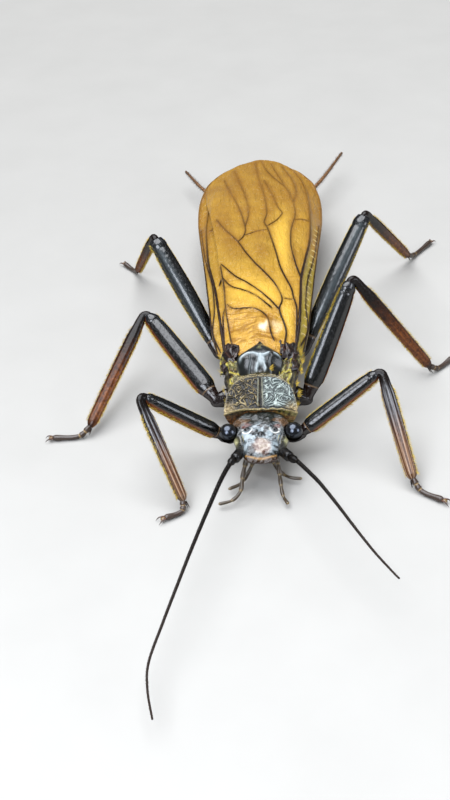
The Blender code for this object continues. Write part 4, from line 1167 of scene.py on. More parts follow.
def veinTube(name):
    # hollow stiffening tubes of dark hardened cuticle, finely knotted
    material, shader = newMaterial(name, {"Roughness": 0.42, "IOR": 1.45, "Specular IOR Level": 0.3})
    fine = grain(material, 0.2)
    base = mix(material, fine, "#150a03", "#2c1606")
    base = layer(material, base, "tip", "#8a6426", 0.85)
    # painted highlight: the cross veins of the front strip drawn pale
    base = layer(material, base, "dash", mix(material, fine, "#cdb26a", "#f0dfa8"))
    return surface(material, shader, base, [(fine, 0.02)])


amber = wingMembrane("amberMembrane", "#c09430", "#a27b28", "#d2ad48")
smoky = wingMembrane("smokyMembrane", "#a8792e", "#80581c", "#c2964c")
tube = veinTube("veinTube")
for letter, sign in sides.items():
    parts = [makeForewing(sign)] + makeVeins(sign)
    makePiece("forewing" + longName[letter], parts, [amber, tube], ("forewing_" + letter,))
for letter, sign in sides.items():
    name = "hindwing" + longName[letter]
    makePiece(name, [makeHindwing(sign, wing["layers"][name])], [smoky], ("hindwing_" + letter,))

print("legs")
legPairs = {
    "front": {"root": 1.5, "hip": (2.25, 1.25, 1.5), "femur": 6.25, "tibia": 6.75, "depths": (1.0, 0.8),
              "widths": (0.9, 0.54), "full": 0.2, "bloom": 0.15},
    "mid": {"root": 2.1, "hip": (2.85, 4.85, 1.5), "femur": 7.85, "tibia": 8.55, "depths": (1.32, 0.82),
            "widths": (0.98, 0.56), "full": 0.2, "bloom": 0.25},
    "hind": {"root": 2.0, "hip": (2.75, 10.2, 1.35), "femur": 9.65, "tibia": 9.85, "depths": (1.2, 0.7),
             "widths": (1.26, 0.6), "full": 0.5, "bloom": 0.62},
}
stances = {
    ("front", "r"): {"ankle": (-4.56, -3.5), "toe": (-5.62, -4.48), "lean": 43.8, "scale": 1.0},
    ("front", "l"): {"ankle": (8.78, -2.1), "toe": (10.38, -3.51), "lean": -45.8, "scale": 1.0},
    ("mid", "r"): {"ankle": (-10.8, 3.6), "toe": (-13.15, 3.09), "lean": 59.9, "scale": 1.0},
    ("mid", "l"): {"ankle": (11.0, 9.0), "toe": (12.67, 10.43), "lean": -19.5, "scale": 1.02},
    ("hind", "r"): {"ankle": (-9.25, 22.3), "toe": (-10.43, 23.97), "lean": -10.2, "scale": 0.945},
    ("hind", "l"): {"ankle": (10.99, 23.1), "toe": (12.95, 25.73), "lean": 2.3, "scale": 1.055},
}
leg = {
    "ankleHeight": 0.62, "kneeRadius": 0.24, "kneeNeck": 0.56,
    "tarsusHeight": 0.2, "tarsusWidth": 0.36, "claw": 0.5, "around": 44,
}


def unit(vector):
    return vector / np.linalg.norm(vector)


def legPoints(pair, letter):
    build, stance, sign = legPairs[pair], stances[(pair, letter)], sides[letter]
    hip = np.array(build["hip"]) * (sign, 1, 1)
    ankle = np.array([*stance["ankle"], leg["ankleHeight"]])
    toe = np.array([*stance["toe"], leg["tarsusHeight"]])
    femur, tibia = build["femur"] * stance["scale"], build["tibia"] * stance["scale"]
    reach = np.linalg.norm(ankle - hip)
    line = (ankle - hip) / reach
    run = (femur**2 - tibia**2 + reach**2) / (2 * reach)
    rise = max(femur**2 - run**2, 0.01) ** 0.5
    up = unit(np.array([0, 0, 1.0]) - line * line[2])
    lean = radians(stance["lean"])
    knee = hip + line * run + rise * (cos(lean) * up + sin(lean) * np.cross(line, up))
    return hip, knee, ankle, toe


def kneeBend(out, down):
    # how far a leg turns at its knee, and how much of each straight stretch the rounded turn takes
    angle = np.arccos(np.clip(out @ down, -1, 1))
    return angle, leg["kneeRadius"] * tan(angle / 2)


def makeFemur(pair, hip, knee, out, down):
    # trochanter and femur: a flattened spindle with two keels below, ending in lobes that clasp the tibia
    build = legPairs[pair]
    top = unit(out - down)
    depth, width = build["depths"][0], build["widths"][0]
    start, end = hip - out * 0.05, knee - out * (kneeBend(out, down)[1] + 0.02)
    share = np.linspace(0, 1, 150)
    full = build["full"]
    size = eased([(0, 0.5), (full * 0.35, 0.66), (full * 0.7, 0.88), (full, 1.0), ((full + 0.8) / 2, 0.98),
                  (0.8, 0.89), (0.93, 0.76), (0.97, 0.68), (1.0, 0.46)], share)
    lift = top * depth * (0.1 * np.clip(share - 0.5, 0, 1))[:, None]
    path = start + (end - start) * share[:, None] + lift * 0.5
    turn = ringTurns(leg["around"])
    keels = bell((turn - radians(245)) % (2 * pi), 0.14) + bell((turn - radians(295)) % (2 * pi), 0.14)
    gutter = bell(turn - radians(270), 0.2)
    shares = share[:, None]
    run = step(shares, 0.12, 0.25) * (1 - step(shares, 0.92, 0.98))
    relief = 1 + run * (0.06 * keels - 0.09 * gutter)
    collar = 0.11 if pair != "front" else 0.12
    relief = relief - 0.07 * bell(shares - collar, 0.006)
    relief = relief + 0.05 * bell(shares - 0.95, 0.02) - 0.05 * bell(shares - 0.915, 0.012)
    widths = width * (0.42 + 0.58 * size)
    grid = limbGrid(path, top, widths, depth * size, leg["around"], 2.0, relief)
    grid = roughen(grid, 0.0015, 0.35, 51)
    lower = step(-np.sin(turn), 0.72, 0.95)
    facing = -np.cross(top, out)[1]  # above 0 where the grid's first line is on the front side
    masks = {
        "rim": np.clip(lower, 0, 1) * step(shares, 0.1, 0.2),
        "trochanter": 1 - step(shares, collar - 0.012, collar - 0.004),
        "collar": 0.7 * bell(shares - collar, 0.004),
        "knee": step(shares, 0.93, 0.97),
        # painted sheen: a broad blue-grey band near the top, on the side turned to the front
        "bloom": build["bloom"] * run * bell(turn - (radians(66) if facing > 0 else radians(114)), 0.4),
    }
    return closedPart(grid, masks), (path, top, share, widths, depth * size)


def makeTibia(pair, knee, ankle, out, down):
    build = legPairs[pair]
    top = unit(out - down)
    depth, width = build["depths"][1], build["widths"][1]
    angle, tangent = kneeBend(out, down)
    normal = unit(down - out * (down @ out))
    centre = knee - out * tangent + normal * leg["kneeRadius"]
    turns = np.linspace(0, angle, 26)[:, None]
    bend = centre - normal * np.cos(turns) * leg["kneeRadius"] + out * np.sin(turns) * leg["kneeRadius"]
    lead = bend[0] - out * np.linspace(0.35, 0.02, 6)[:, None]
    share = np.linspace(0, 1, 130)[1:]
    shaft = bend[-1] + (ankle - bend[-1]) * share[:, None]
    path = np.vstack([lead, bend, shaft])
    along = np.concatenate([np.full(len(lead) + len(bend), 0.0), share])
    neck = leg["kneeNeck"]
    depths = eased([(0, neck), (0.04, neck * 1.12), (0.1, depth * 0.84), (0.2, depth), (0.45, depth * 1.0),
                    (0.75, depth * 0.93), (0.91, depth * 0.86), (0.97, depth * 0.72),
                    (1.0, depth * 0.4)], along)
    widths = width * eased([(0, 0.85), (0.1, 0.92), (0.4, 1.0), (0.9, 0.92), (0.97, 0.8), (1.0, 0.55)], along)
    depths[: len(lead)] *= np.linspace(0.8, 1.0, len(lead))
    turn = ringTurns(leg["around"])
    height = np.sin(turn)
    ridges = bell(height - 0.42, 0.1) + bell(height + 0.3, 0.1)
    alongs = along[:, None]
    run = step(alongs, 0.05, 0.2) * (1 - step(alongs, 0.9, 0.97))
    relief = 1 + run * 0.07 * ridges - run * 0.03 * bell(height - 0.06, 0.14)
    relief = relief + 0.03 * bell(alongs - 0.96, 0.015)
    grid = limbGrid(path, top, widths, depths, leg["around"], 2.05, relief)
    grid = roughen(grid, 0.003, 0.22, 52)
    masks = {
        "along": alongs,
        "ridge": run * ridges,
        "edge": step(np.abs(height), 0.8, 0.97) * step(alongs, 0.02, 0.1),
        "upper": step(height, 0.2, 0.9),
        "shade": float(pair != "front") * step(height, -0.1, 0.7) * (1 - 0.6 * step(alongs, 0.5, 1.0)),
        "tan": float(pair == "front") * step(alongs, 0.04, 0.2),
        "streak": 0.5 + 0.25 * np.sin(9 * turn + 3 * alongs) + 0.25 * np.sin(17 * turn - 5 * alongs + 1),
    }
    parts = [closedPart(grid, masks, 1)]
    # two spurs at the end, on the inner side
    across = np.cross(down, top)
    for sign in (-1, 1):
        root = ankle - top * depth * 0.26 + across * width * 0.28 * sign - down * 0.12
        tip = root + down * 0.36 - top * 0.1 + across * 0.07 * sign
        line = smoothPath([root, (root + tip) / 2 - top * 0.03, tip], 9)
        thick = np.linspace(0.1, 0.014, 9)
        parts.append(closedPart(limbGrid(line, top, thick, thick, 10), {"along": 1.0}, 1))
    return parts, (path[len(lead) + len(bend) :], top, share, widths[-len(share) :], depths[-len(share) :])


def makeTarsus(ankle, down, toe):
    # three joints: two short and padded, one long and slender
    start = ankle - down * 0.12
    middle = ankle + down * 0.48
    middle[2] = leg["tarsusHeight"]
    line = smoothPath([start, middle * 0.75 + toe * 0.25, toe], 90)
    share = np.linspace(0, 1, 90)
    size = eased([(0, 0.8), (0.06, 0.8), (0.17, 1.04), (0.205, 0.74), (0.24, 0.88), (0.33, 1.02),
                  (0.365, 0.68), (0.42, 0.78), (0.7, 0.84), (0.92, 1.02), (1.0, 0.76)], share)
    thick = leg["tarsusWidth"] * size
    line[:, 2] = np.maximum(line[:, 2], 0.16)
    grid = limbGrid(line, (0, 0, 1), thick, thick, 28, 2.3)
    grid[..., 2] = np.where(grid[..., 2] < 0.035, 0.0, grid[..., 2])
    joint = np.maximum(bell(share - 0.207, 0.016), bell(share - 0.367, 0.016))[:, None]
    grid[..., 0] += 0.004 * ripple(grid, 0.15, 53)
    along = unit(toe - middle)
    across = np.cross(along, (0, 0, 1))
    parts = [closedPart(grid, {"joint": joint}, 2)]
    # the pad between the claws
    pad = smoothPath([toe - along * 0.1, toe + along * 0.12, toe + along * 0.26 - (0, 0, 0.06)], 14)
    wide = eased([(0, 0.1), (0.5, 0.26), (0.9, 0.24), (1, 0.06)], np.linspace(0, 1, 14))
    padGrid = limbGrid(pad, (0, 0, 1), wide, wide * 0.6, 18)
    padGrid[..., 2] = np.maximum(padGrid[..., 2], 0.0)
    parts.append(closedPart(padGrid, {"joint": 0.5}, 2))
    return parts, (along, across)


def makeClaws(toe, along, across):
    parts = []
    for sign in (-1, 1):
        points = [
            toe - along * 0.1 + across * 0.06 * sign,
            toe + along * 0.16 + across * 0.15 * sign + (0, 0, 0.05),
            toe + along * 0.34 + across * 0.2 * sign,
            toe + along * leg["claw"] + across * 0.21 * sign - (0, 0, 0.16),
        ]
        line = smoothPath(points, 22)
        thick = np.linspace(1, 0.05, 22) ** 0.8 * 0.15
        grid = limbGrid(line, (0, 0, 1), thick * 0.8, thick, 14)
        grid[..., 2] = np.maximum(grid[..., 2], 0.0)
        parts.append(closedPart(grid, {"tip": np.linspace(0, 1, 22)[:, None]}))
    return parts


def makeCoxa(pair, letter, hip, out):
    build, sign = legPairs[pair], sides[letter]
    inner = np.array([(build["root"] - 0.5) * sign, hip[1], hip[2] + 0.2])
    line = smoothPath([inner, (inner + hip) / 2 + (0, 0, 0.05), hip - out * 0.1, hip + out * 0.3], 50)
    share = np.linspace(0, 1, 50)
    thick = eased([(0, 1.15), (0.35, 1.12), (0.6, 0.92), (0.75, 0.7), (0.88, 0.62), (1.0, 0.5)], share)
    grid = limbGrid(line, (0, 1, 0), thick, thick * 1.05, leg["around"], 2.2)
    grid = roughen(grid, 0.03, 0.6, 54)
    return closedPart(grid, {"trochanter": 0.7})


def makeLeg(pair, letter, materials):
    hip, knee, ankle, toe = legPoints(pair, letter)
    out, down = unit(knee - hip), unit(ankle - knee)
    femur, femurFit = makeFemur(pair, hip, knee, out, down)
    tibia, tibiaFit = makeTibia(pair, knee, ankle, out, down)
    tarsus, (along, across) = makeTarsus(ankle, down, toe)
    tag = f"_{pair}_{letter}"
    name = pair + "Leg" + longName[letter]
    parts = [makeCoxa(pair, letter, hip, out), femur] + tibia + tarsus
    nodes = ("coxa" + tag, "femur" + tag, "tibia" + tag, "tarsus" + tag)
    makePiece(name, parts, materials[:3], nodes)
    makePiece(name + "Claws", makeClaws(toe, along, across), materials[3:], ())
    return femurFit, tibiaFit


def femurCuticle():
    # the thick leg joint: hard black cuticle with a lacquer gloss, finely pitted, orange-brown along its keel
    material, shader = newMaterial("femurCuticle", {"Roughness": 0.2, "IOR": 1.5, "Coat Roughness": 0.07})
    fadeGloss(material, shader, 0.5, 0.42, fade=(0.28, 0.62))
    cloud = grain(material, 0.5)
    pits = cells(material, 0.1)  # hair pits
    base = mix(material, cloud, "#020303", "#07090b")
    # painted sheen: a broad blue-grey band, strongest on the hind femora
    bloom = grain(material, 0.35, 3, 0.6, distortion=0.5)
    base = layer(material, base, "bloom", mix(material, bloom, "#23282b", "#5c666a"))
    base = layer(material, base, "rim", mix(material, cloud, "#5a2206", "#93501a"), 0.9)
    base = layer(material, base, "trochanter", mix(material, cloud, "#0a0504", "#1d0b07"))
    base = layer(material, base, "collar", "#9a7a58")
    base = layer(material, base, "knee", "#1a1c20", 0.5)
    return surface(material, shader, base, [(reshape(material, pits, 0.0, 0.35), 0.02)])


def tibiaCuticle():
    # the shin: hard cuticle drawn out in lengthwise ridges, black at the knee and chestnut towards the foot
    material, shader = newMaterial("tibiaCuticle", {"Roughness": 0.27, "IOR": 1.5, "Coat Roughness": 0.12})
    fadeGloss(material, shader, 0.22, 0.09)
    fine = grain(material, 0.16, 4)
    along = mask(material, "along")
    dark = ramp(material, along, [
        (0.0, "#0a0807"), (0.18, "#0b0706"), (0.36, "#221008"), (0.6, "#4a2410"), (0.92, "#522b17"),
        (1.0, "#1c0c06"),
    ])
    light = ramp(material, along, [
        (0.0, "#0c0907"), (0.18, "#100a07"), (0.34, "#46230f"), (0.58, "#82491f"), (0.92, "#7e4c28"),
        (1.0, "#2a140a"),
    ])
    blotch = grain(material, 0.3, 4, 0.6, distortion=0.6)
    base = mix(material, blotch, dark, light, (0.4, 0.62))
    streak = mask(material, "streak")
    base = mix(material, streak, base, "#1a0d07", (0.35, 0.75, 0.35, 0.0))
    lines = reshape(material, streak, 0.4, 0.8)  # on the front pair, painted highlight: grey-white streaks along the ridges near the knee, then tan with pale streaks
    sheenStreaks = mix(material, lines, "#141213", "#98989b")
    warm = mix(material, lines, "#4c2f1c", "#b09478")
    sheenAndTan = mix(material, along, sheenStreaks, warm, (0.35, 0.7))
    base = layer(material, base, "tan", sheenAndTan, 0.75)
    base = layer(material, base, "shade", "#160a06", 0.5)
    base = layer(material, base, "ridge", light, 0.22)
    base = layer(material, base, "edge", mix(material, mask(material, "upper"), "#86501a", "#0e0805"), 0.55)
    return surface(material, shader, base, [(fine, 0.01), (cells(material, 0.08), 0.005)])


def tarsusCuticle():
    # foot joints: tough brown cuticle, satin, with paler skin between the joints
    material, shader = newMaterial("tarsusCuticle", {
        "Roughness": 0.36, "IOR": 1.54, "Coat Weight": 0.25, "Coat Roughness": 0.2,
    })
    fine = grain(material, 0.12)
    base = mix(material, fine, "#1e120a", "#3e2816")
    base = layer(material, base, "joint", "#94784a")
    return surface(material, shader, base, [(fine, 0.02)])


def clawHorn():
    # solid hardened claws, brown at the root and nearly black at the point
    material, shader = newMaterial("clawHorn", {
        "Roughness": 0.25, "IOR": 1.56, "Coat Weight": 0.4, "Coat Roughness": 0.1,
    })
    base = mix(material, grain(material, 0.1), "#4a240e", "#6d3a18")
    return surface(material, shader, layer(material, base, "tip", "#150b06"))


legMaterials = [femurCuticle(), tibiaCuticle(), tarsusCuticle(), clawHorn()]
legFits = {key: makeLeg(*key, legMaterials) for key in stances}

print("feelers")
antennae = {
    "r": [(-1.22, -1.45, 2.5), (-1.36, -1.9, 2.56), (-1.62, -2.35, 2.62), (-1.8, -2.8, 2.7),
          (-2.35, -4.7, 2.9), (-3.52, -9.1, 2.85), (-4.3, -12.0, 2.6), (-4.97, -14.3, 2.2),
          (-5.56, -16.4, 1.75), (-5.55, -17.8, 1.45), (-5.2, -19.5, 1.3)],
    "l": [(1.22, -1.45, 2.5), (1.46, -1.9, 2.56), (1.8, -2.35, 2.62), (2.1, -2.75, 2.72), (2.9, -4.2, 2.9),
          (3.35, -5.05, 2.95), (4.2, -6.75, 2.9), (5.03, -8.45, 2.8), (5.92, -10.05, 2.6),
          (6.85, -11.4, 2.35), (7.08, -11.65, 2.26)],
    "joint": 0.3, "thick": (0.3, 0.11), "around": 16,
    "first": [((0.5, 0.42), 0.6), ((1.16, 0.24), 0.44)],  # a stout first joint and a bead, then the long whip
}
maxillaryPalps = {
    "r": [(-0.8, -1.0, 1.95), (-1.0, -1.5, 1.4), (-1.14, -2.1, 1.02), (-1.26, -2.9, 0.72),
          (-1.74, -3.34, 0.42), (-2.55, -3.58, 0.34)],
    "l": [(0.8, -1.0, 1.95), (0.97, -1.5, 1.4), (1.04, -2.0, 1.0), (1.13, -2.75, 0.6), (1.25, -3.2, 0.38),
          (1.49, -3.7, 0.34)],
}
labialPalps = {
    "r": [(-0.35, -0.65, 1.95), (-0.5, -0.85, 1.3), (-0.75, -1.2, 0.82), (-1.25, -1.85, 0.4),
          (-2.0, -2.3, 0.34)],
    "l": [(0.35, -0.5, 1.95), (0.52, -0.62, 1.3), (0.75, -0.74, 0.82), (1.15, -1.05, 0.42),
          (1.7, -1.42, 0.36), (2.35, -1.5, 0.34)],
}
cerci = {
    "r": [(-0.5, 25.1, 1.75), (-0.95, 26.2, 1.62), (-1.7, 27.7, 1.5), (-3.0, 30.2, 1.5), (-4.9, 33.4, 1.6),
          (-6.27, 36.5, 1.5)],
    "l": [(0.5, 25.1, 1.75), (0.95, 26.2, 1.62), (1.7, 27.7, 1.5), (3.0, 30.2, 1.5), (5.0, 33.6, 1.8),
          (6.87, 37.9, 2.0)],
    "joint": 0.42, "thick": (0.52, 0.2), "around": 16,
}


def makeBeaded(feeler, letter, waist, power=1.0, first=()):
    # a feeler of ring joints, each widest near its far end; first joints are ((place, half), thickness)
    points = np.array(feeler[letter], float)
    length = np.sum(pathSteps(smoothPath(points, 300)))
    count = max(int(length / feeler["joint"]), 4)
    edges = np.linspace(0, 1, count + 1) ** power
    shares, sizes, rings = [], [], []
    for a, b in zip(edges[:-1], edges[1:]):
        for place, size in ((0.0, waist), (0.18, waist + 0.12), (0.62, 0.97), (0.86, 1.0), (0.97, 0.9)):
            shares.append(a + (b - a) * place)
            sizes.append(size)
            rings.append(float(place < 0.1 or place > 0.95))
    shares, sizes = np.array(shares), np.array(sizes)
    path = readOff(shares, np.linspace(0, 1, 1200), smoothPath(points, 1200))
    root, tip = feeler["thick"]
    wide = sizes * (root + (tip - root) * shares**0.8)
    for (place, half), thickness in first:
        wide = wide + (thickness - wide) * (1 - step(np.abs(shares * length - place), half * 0.8, half))
    wide[-1] *= 0.4
    masks = {"ring": np.array(rings)[:, None], "along": shares[:, None]}
    return closedPart(limbGrid(path, (0, 0, 1), wide, wide, feeler["around"]), masks), (path, wide)


def makePalp(line, thick, count):
    # a few long joints, thin at the root of each and swollen at its end
    points = smoothPath(line, count * 16)
    share = np.linspace(0, 1, len(points))
    inside = (share * count) % 1.0
    size = 0.74 + 0.26 * step(inside, 0.0, 0.75) - 0.3 * step(inside, 0.88, 1.0)
    wide = (thick[0] + (thick[1] - thick[0]) * share) * size
    wide[-1] *= 0.5
    joint = np.maximum(bell(inside - 0.98, 0.07), bell(inside - 0.01, 0.05))
    return closedPart(limbGrid(points, (0, 0, 1), wide, wide * 0.9, 20), {"joint": joint[:, None]})


def antennaCuticle():
    # a whip of short hard rings: black-brown, satin, with a duller line at each joint
    material, shader = newMaterial("antennaCuticle", {
        "Roughness": 0.34, "IOR": 1.5, "Coat Roughness": 0.18,
    })
    fadeGloss(material, shader, 0.15)
    # the stem is polished, the whip dull
    shine = reshape(material, mask(material, "along"), 0.0, 0.1, 0.9, 0.04)
    material.node_tree.links.new(shine, shader.inputs["Coat Weight"])
    fine = grain(material, 0.12)
    tones = ramp(material, mask(material, "along"), [(0.0, "#030303"), (0.35, "#080605"), (1.0, "#24160d")])
    base = mix(material, fine, tones, "#120d0a", (0.3, 0.8, 0.0, 0.4))
    base = layer(material, base, "ring", "#241a10", 0.5)
    return surface(material, shader, base, [(fine, 0.015)])


def palpCuticle():
    # soft-jointed mouth feelers: thin brown cuticle, paler where it folds
    material, shader = newMaterial("palpCuticle", {
        "Roughness": 0.36, "IOR": 1.54, "Coat Weight": 0.3, "Coat Roughness": 0.2,
    })
    fine = grain(material, 0.14)
    base = mix(material, fine, "#1a140d", "#4e3e26")
    base = layer(material, base, "joint", "#8c7648", 0.6)
    return surface(material, shader, base, [(fine, 0.02)])


def cercusCuticle():
    # tail feelers of many rings: thin cuticle, chestnut at the root and dark at the tip
    material, shader = newMaterial("cercusCuticle", {
        "Roughness": 0.38, "IOR": 1.54, "Coat Weight": 0.25, "Coat Roughness": 0.2,
    })
    fine = grain(material, 0.15)
    tones = ramp(material, mask(material, "along"), [(0.0, "#8f602c"), (0.5, "#81562a"), (1.0, "#4a3018")])
    base = mix(material, fine, tones, "#a87438", (0.3, 0.8, 0.0, 0.4))
    base = layer(material, base, "ring", "#2a170b", 0.6)
    return surface(material, shader, base, [(fine, 0.02)])


ringed, mouth, tailed = antennaCuticle(), palpCuticle(), cercusCuticle()
feelerFits = {}
for letter in sides:
    side = longName[letter]
    whip, feelerFits["antenna" + letter] = makeBeaded(antennae, letter, 0.84, first=antennae["first"])
    nodes = [word + letter for word in ("antenna_base_", "antenna_near_", "antenna_far_")]
    makePiece("antenna" + side, [whip], [ringed], nodes)
    upper = makePalp(maxillaryPalps[letter], (0.34, 0.2), 5)
    makePiece("upperPalp" + side, [upper], [mouth], ("palp_maxillary_" + letter,))
    lower = makePalp(labialPalps[letter], (0.32, 0.2), 3)
    makePiece("lowerPalp" + side, [lower], [mouth], ("palp_labial_" + letter,))
    tail, feelerFits["cercus" + letter] = makeBeaded(cerci, letter, 0.8, 0.92)
    makePiece("tailFeeler" + side, [tail], [tailed], ("cercus_" + letter,))

print("hair")
hair = {
    "patch": 0.003,  # how much of the unwrap one hair takes
    "spacing": 0.055,
    "thick": {"fringe": 0.016, "bristle": 0.012, "tuft": 0.014, "ring": 0.011},
    "femur": {"rows": 5, "from": 0.14, "to": 0.97, "spread": 0.2, "page": 0.0},
    "shin": {"rows": 4, "from": 0.1, "to": 0.96, "spread": 0.2, "page": 0.5},
    "bristles": {"rows": 3, "from": 0.14, "to": 0.95, "spread": 1.6, "page": 0.0},
    "whorls": {  # piece, seed, hairs at each ring, lengths, how far they stand off
        "antenna": ("antennaHairs", 61, 5, (0.05, 0.1), 1.0),
        "cercus": ("tailFeelerHairs", 62, 9, (0.14, 0.34), 1.3),
    },
    "tufts": [  # x, y, z, spread, hairs: yellow bristles at the sides of the thorax, thicker on the left
        (2.5, 6.3, 3.85, 0.35, 60), (2.6, 5.6, 3.75, 0.3, 60), (2.5, 4.8, 3.6, 0.3, 45),
        (2.2, 3.8, 3.35, 0.2, 40), (2.3, 3.0, 3.1, 0.25, 55), (2.15, 2.2, 2.9, 0.25, 50),
        (0.66, 4.0, 4.45, 0.25, 60),
        (-2.45, 6.2, 3.8, 0.3, 30), (-2.4, 5.0, 3.6, 0.35, 25), (-2.2, 3.4, 3.2, 0.35, 20),
        (-2.05, 2.5, 3.0, 0.25, 20),
    ],
}


def growHairs(name, roots, ways, bends, lengths, thick, places, material, slot):
    # each hair is a curved three-sided spike; its UV patch sits at its root's place on the unwrapped skin
    roots, ways, bends = (np.asarray(v, float) for v in (roots, ways, bends))
    count = len(roots)
    ways = ways / np.linalg.norm(ways, axis=1, keepdims=True)
    lengths = np.asarray(lengths)[:, None]
    side = np.cross(ways, bends + (0.01, 0.013, 0.007))
    side /= np.linalg.norm(side, axis=1, keepdims=True)
    up = np.cross(side, ways)
    rings = []
    for share, size in ((0.0, 1.0), (0.4, 0.75), (0.75, 0.45)):
        middle = roots + ways * lengths * share + bends * lengths * share**2
        for turn in (0, 2 * pi / 3, 4 * pi / 3):
            rings.append(middle + (side * cos(turn) + up * sin(turn)) * thick * size / 2)
    rings.append(roots + ways * lengths + bends * lengths)
    points = np.stack(rings, axis=1).reshape(-1, 3)
    triangles = []
    for ring in (0, 3):
        for k in range(3):
            a, b = ring + k, ring + (k + 1) % 3
            triangles += [(a, b, b + 3), (a, b + 3, a + 3)]
    triangles += [(6, 7, 9), (7, 8, 9), (8, 6, 9), (2, 1, 0)]
    faces = (np.array(triangles)[None] + 10 * np.arange(count)[:, None, None]).reshape(-1, 3)
    tint = np.repeat(np.random.default_rng(len(name)).uniform(0, 1, count), 10)
    obj = makePiece(name, [(points, np.zeros((0, 4), int), faces, {"tint": tint}, 0)], [material], ())
    corner = np.array([(u, v) for v in (0, 0.4, 0.75) for u in (0, 0.5, 1)] + [(0.5, 1)])
    places = np.clip(np.asarray(places), 0, 1) * (1 - hair["patch"])
    spread = places[:, None, :] + corner[None] * hair["patch"]
    uv = spread.reshape(-1, 2)[faces.ravel()]
    obj.data.uv_layers.new(name="OFBake").data.foreach_set("uv", uv.astype(np.float32).ravel())


def limbHairs(fit, edge, spot, seed, longest):
    # a fringe along one edge of a limb (0 to 3 quarter turns from across), leaning towards its far end
    path, top, share, widths, depths = fit
    chance = np.random.default_rng(seed)
    count = int(np.sum(pathSteps(path)) / hair["spacing"] * spot["rows"])
    at = chance.uniform(spot["from"], spot["to"], count)
    turn = radians(90 * edge) + chance.normal(0, spot["spread"], count)
    centre, way, up, flat = (readOff(at, share, values) for values in (path, *limbFrames(path, top)))
    wide, deep = np.interp(at, share, widths), np.interp(at, share, depths)
    outward = flat * np.cos(turn)[:, None] + up * np.sin(turn)[:, None]
    root = centre + flat * (np.cos(turn) * wide * 0.46)[:, None] + up * (np.sin(turn) * deep * 0.47)[:, None]
    ways = outward + way * chance.uniform(0.35, 0.9, count)[:, None] + chance.normal(0, 0.12, (count, 3))
    bends = way * 0.35 + chance.normal(0, 0.06, (count, 3))
    lengths = chance.uniform(*longest, count)
    places = np.column_stack([0.02 + 0.44 * at + spot["page"], (turn % (2 * pi)) / (2 * pi)])
    return root, ways, bends, lengths, places


def growSets(name, sets, thick, material):
    *hairs, places = (np.concatenate([group[k] for group in sets]) for k in range(5))
    growHairs(name, *hairs, thick, places, material, "femur")


def makeFringes(key, golden, dark):
    pair, letter = key
    femurFit, tibiaFit = legFits[key]
    name = pair + "Leg" + longName[letter]
    seed = 100 + 10 * list(stances).index(key)
    femur, shin, bristles = hair["femur"], hair["shin"], hair["bristles"]
    edges = (0, 2) if pair == "hind" else (3, 1)  # the hind femora carry theirs along both flanks
    growSets(name + "Fringe", [
        limbHairs(femurFit, edges[0], femur, seed, (0.1, 0.22)),
        limbHairs(femurFit, edges[1], femur | {"spread": 0.12}, seed + 1, (0.08, 0.16)),
        limbHairs(tibiaFit, 3, shin, seed + 2, (0.08, 0.18)),
        limbHairs(tibiaFit, 1, shin, seed + 3, (0.1, 0.24)),
    ], hair["thick"]["fringe"], golden)
    growSets(name + "Bristles", [  # short dark ones all round the limb
        limbHairs(femurFit, 1, bristles, seed + 4, (0.05, 0.11)),
        limbHairs(tibiaFit, 1, bristles | {"page": 0.5, "rows": 5}, seed + 5, (0.06, 0.14)),
    ], hair["thick"]["bristle"], dark)


def makeTufts(golden):
    chance = np.random.default_rng(7)
    roots, ways = [], []
    for x, y, z, spread, count in hair["tufts"]:
        offset = chance.normal(0, spread * 0.5, (count, 3)) * (0.25, 1, 0.6)
        roots.append(np.array([x, y, z]) + offset)
        ways.append(np.array([0.5 * np.sign(x), 0.6, 0.4]) + chance.normal(0, 0.35, (count, 3)))
    roots, ways = np.vstack(roots), np.vstack(ways)
    count = len(roots)
    bends = np.array([0, 0.25, -0.2]) + chance.normal(0, 0.08, (count, 3))
    angle = np.arctan2(roots[:, 2] - 2.6, roots[:, 0]) / (2 * pi) + 0.25
    places = np.column_stack([(roots[:, 1] - 1) / 27, angle % 1.0])
    lengths = chance.uniform(0.16, 0.36, count)
    growHairs("thoraxTufts", roots, ways, bends, lengths, hair["thick"]["tuft"], places, golden, "thorax")


def makeRingHairs(name, fit, seed, perRing, longest, stand, slot, material):
    # whorls of fine hairs at the joints of a feeler
    path, wide = fit
    chance = np.random.default_rng(seed)
    rows = np.repeat(np.arange(8, len(path) - 3), perRing)
    share = rows / len(path)
    along, ups, across = limbFrames(path, (0, 0, 1))
    turn = chance.uniform(0, 2 * pi, len(rows))
    outward = across[rows] * np.cos(turn)[:, None] + ups[rows] * np.sin(turn)[:, None]
    roots = path[rows] + outward * (wide[rows] * 0.45)[:, None]
    ways = outward * stand + along[rows] + chance.normal(0, 0.1, (len(rows), 3))
    lengths = chance.uniform(*longest, len(rows)) * (1.1 - 0.4 * share)
    places = np.column_stack([share, turn / (2 * pi)])
    growHairs(name, roots, ways, along[rows] * 0.15, lengths, hair["thick"]["ring"], places, material, slot)


def hairCuticle(name, root, tip, shine):
    # fine solid bristles of clear or dark cuticle; tint differs from hair to hair
    material, shader = newMaterial(name, {"Roughness": shine, "IOR": 1.55, "Specular IOR Level": 0.4})
    base = mix(material, mask(material, "tint"), root, tip)
    return surface(material, shader, base)


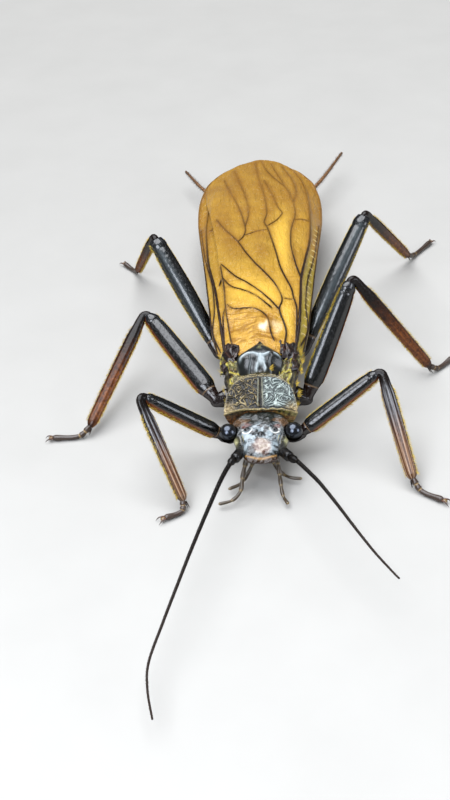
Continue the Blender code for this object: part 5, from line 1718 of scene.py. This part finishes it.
golden = hairCuticle("goldenBristle", "#b0871c", "#ecd252", 0.45)
brown = hairCuticle("brownBristle", "#1c120b", "#4a3018", 0.4)
for key in stances:
    makeFringes(key, golden, brown)
makeTufts(golden)
for letter in sides:
    for slot, (word, *settings) in hair["whorls"].items():
        makeRingHairs(word + longName[letter], feelerFits[slot + letter], *settings, slot, brown)

print("stage")
stage = {
    "halfSize": 2500,
    "drop": 0.02,  # how far the floor lies below the soles
    "sky": 0.22,
    # broad as a window, so that the floor is lit evenly
    "sun": {"energy": 4.7, "angle": 60, "way": (15, -17, -83)},
    # place, size, power
    "lamps": {"frontLamp": ((-28, -52, 64), 52, 0.062), "sideLamp": ((78, -22, 44), 44, 0.026)},
    "aim": (0, 8, 2),
}


def makeFloor():
    half = stage["halfSize"] * mm
    mesh = bpy.data.meshes.new("floor")
    corners = [(half * u, half * v, -stage["drop"] * mm) for u, v in ((-1, -1), (1, -1), (1, 1), (-1, 1))]
    mesh.from_pydata(corners, [], [(0, 1, 2, 3)])
    material, shader = newMaterial("paintedFloor", {"Roughness": 0.85})  # flat matt paint
    speckle = mix(material, grain(material, 6), "#a8a6a1", "#b0aea9")
    mesh.materials.append(surface(material, shader, speckle))
    floor = bpy.data.objects.new("floor", mesh)
    bpy.context.scene.collection.objects.link(floor)


def makeLight(name, kind, energy, colour, way):
    # a light that shines along a way; its object is returned
    light = bpy.data.lights.new(name, kind)
    light.energy, light.color = energy, linear(colour)[:3]
    lamp = bpy.data.objects.new(name, light)
    lamp.rotation_euler = Vector(way).to_track_quat("-Z", "Y").to_euler()
    bpy.context.scene.collection.objects.link(lamp)
    return lamp


makeFloor()
sun = stage["sun"]
makeLight("keyLamp", "SUN", sun["energy"], "#f6f9ff", sun["way"]).data.angle = radians(sun["angle"])
for name, (place, size, power) in stage["lamps"].items():
    lamp = makeLight(name, "AREA", power, "#eef4ff", np.array(stage["aim"]) - np.array(place))
    lamp.data.shape, lamp.data.size = "DISK", size * mm
    lamp.location = (np.array(place) + shift) * mm
world = bpy.data.worlds.new("studio")
world.use_nodes = True
backdrop = world.node_tree.nodes["Background"]
backdrop.inputs["Color"].default_value = linear("#f4f6f8")
backdrop.inputs["Strength"].default_value = stage["sky"]
bpy.context.scene.world = world
bpy.context.scene.view_settings.view_transform = "Standard"  # so that the hex colours come out as given
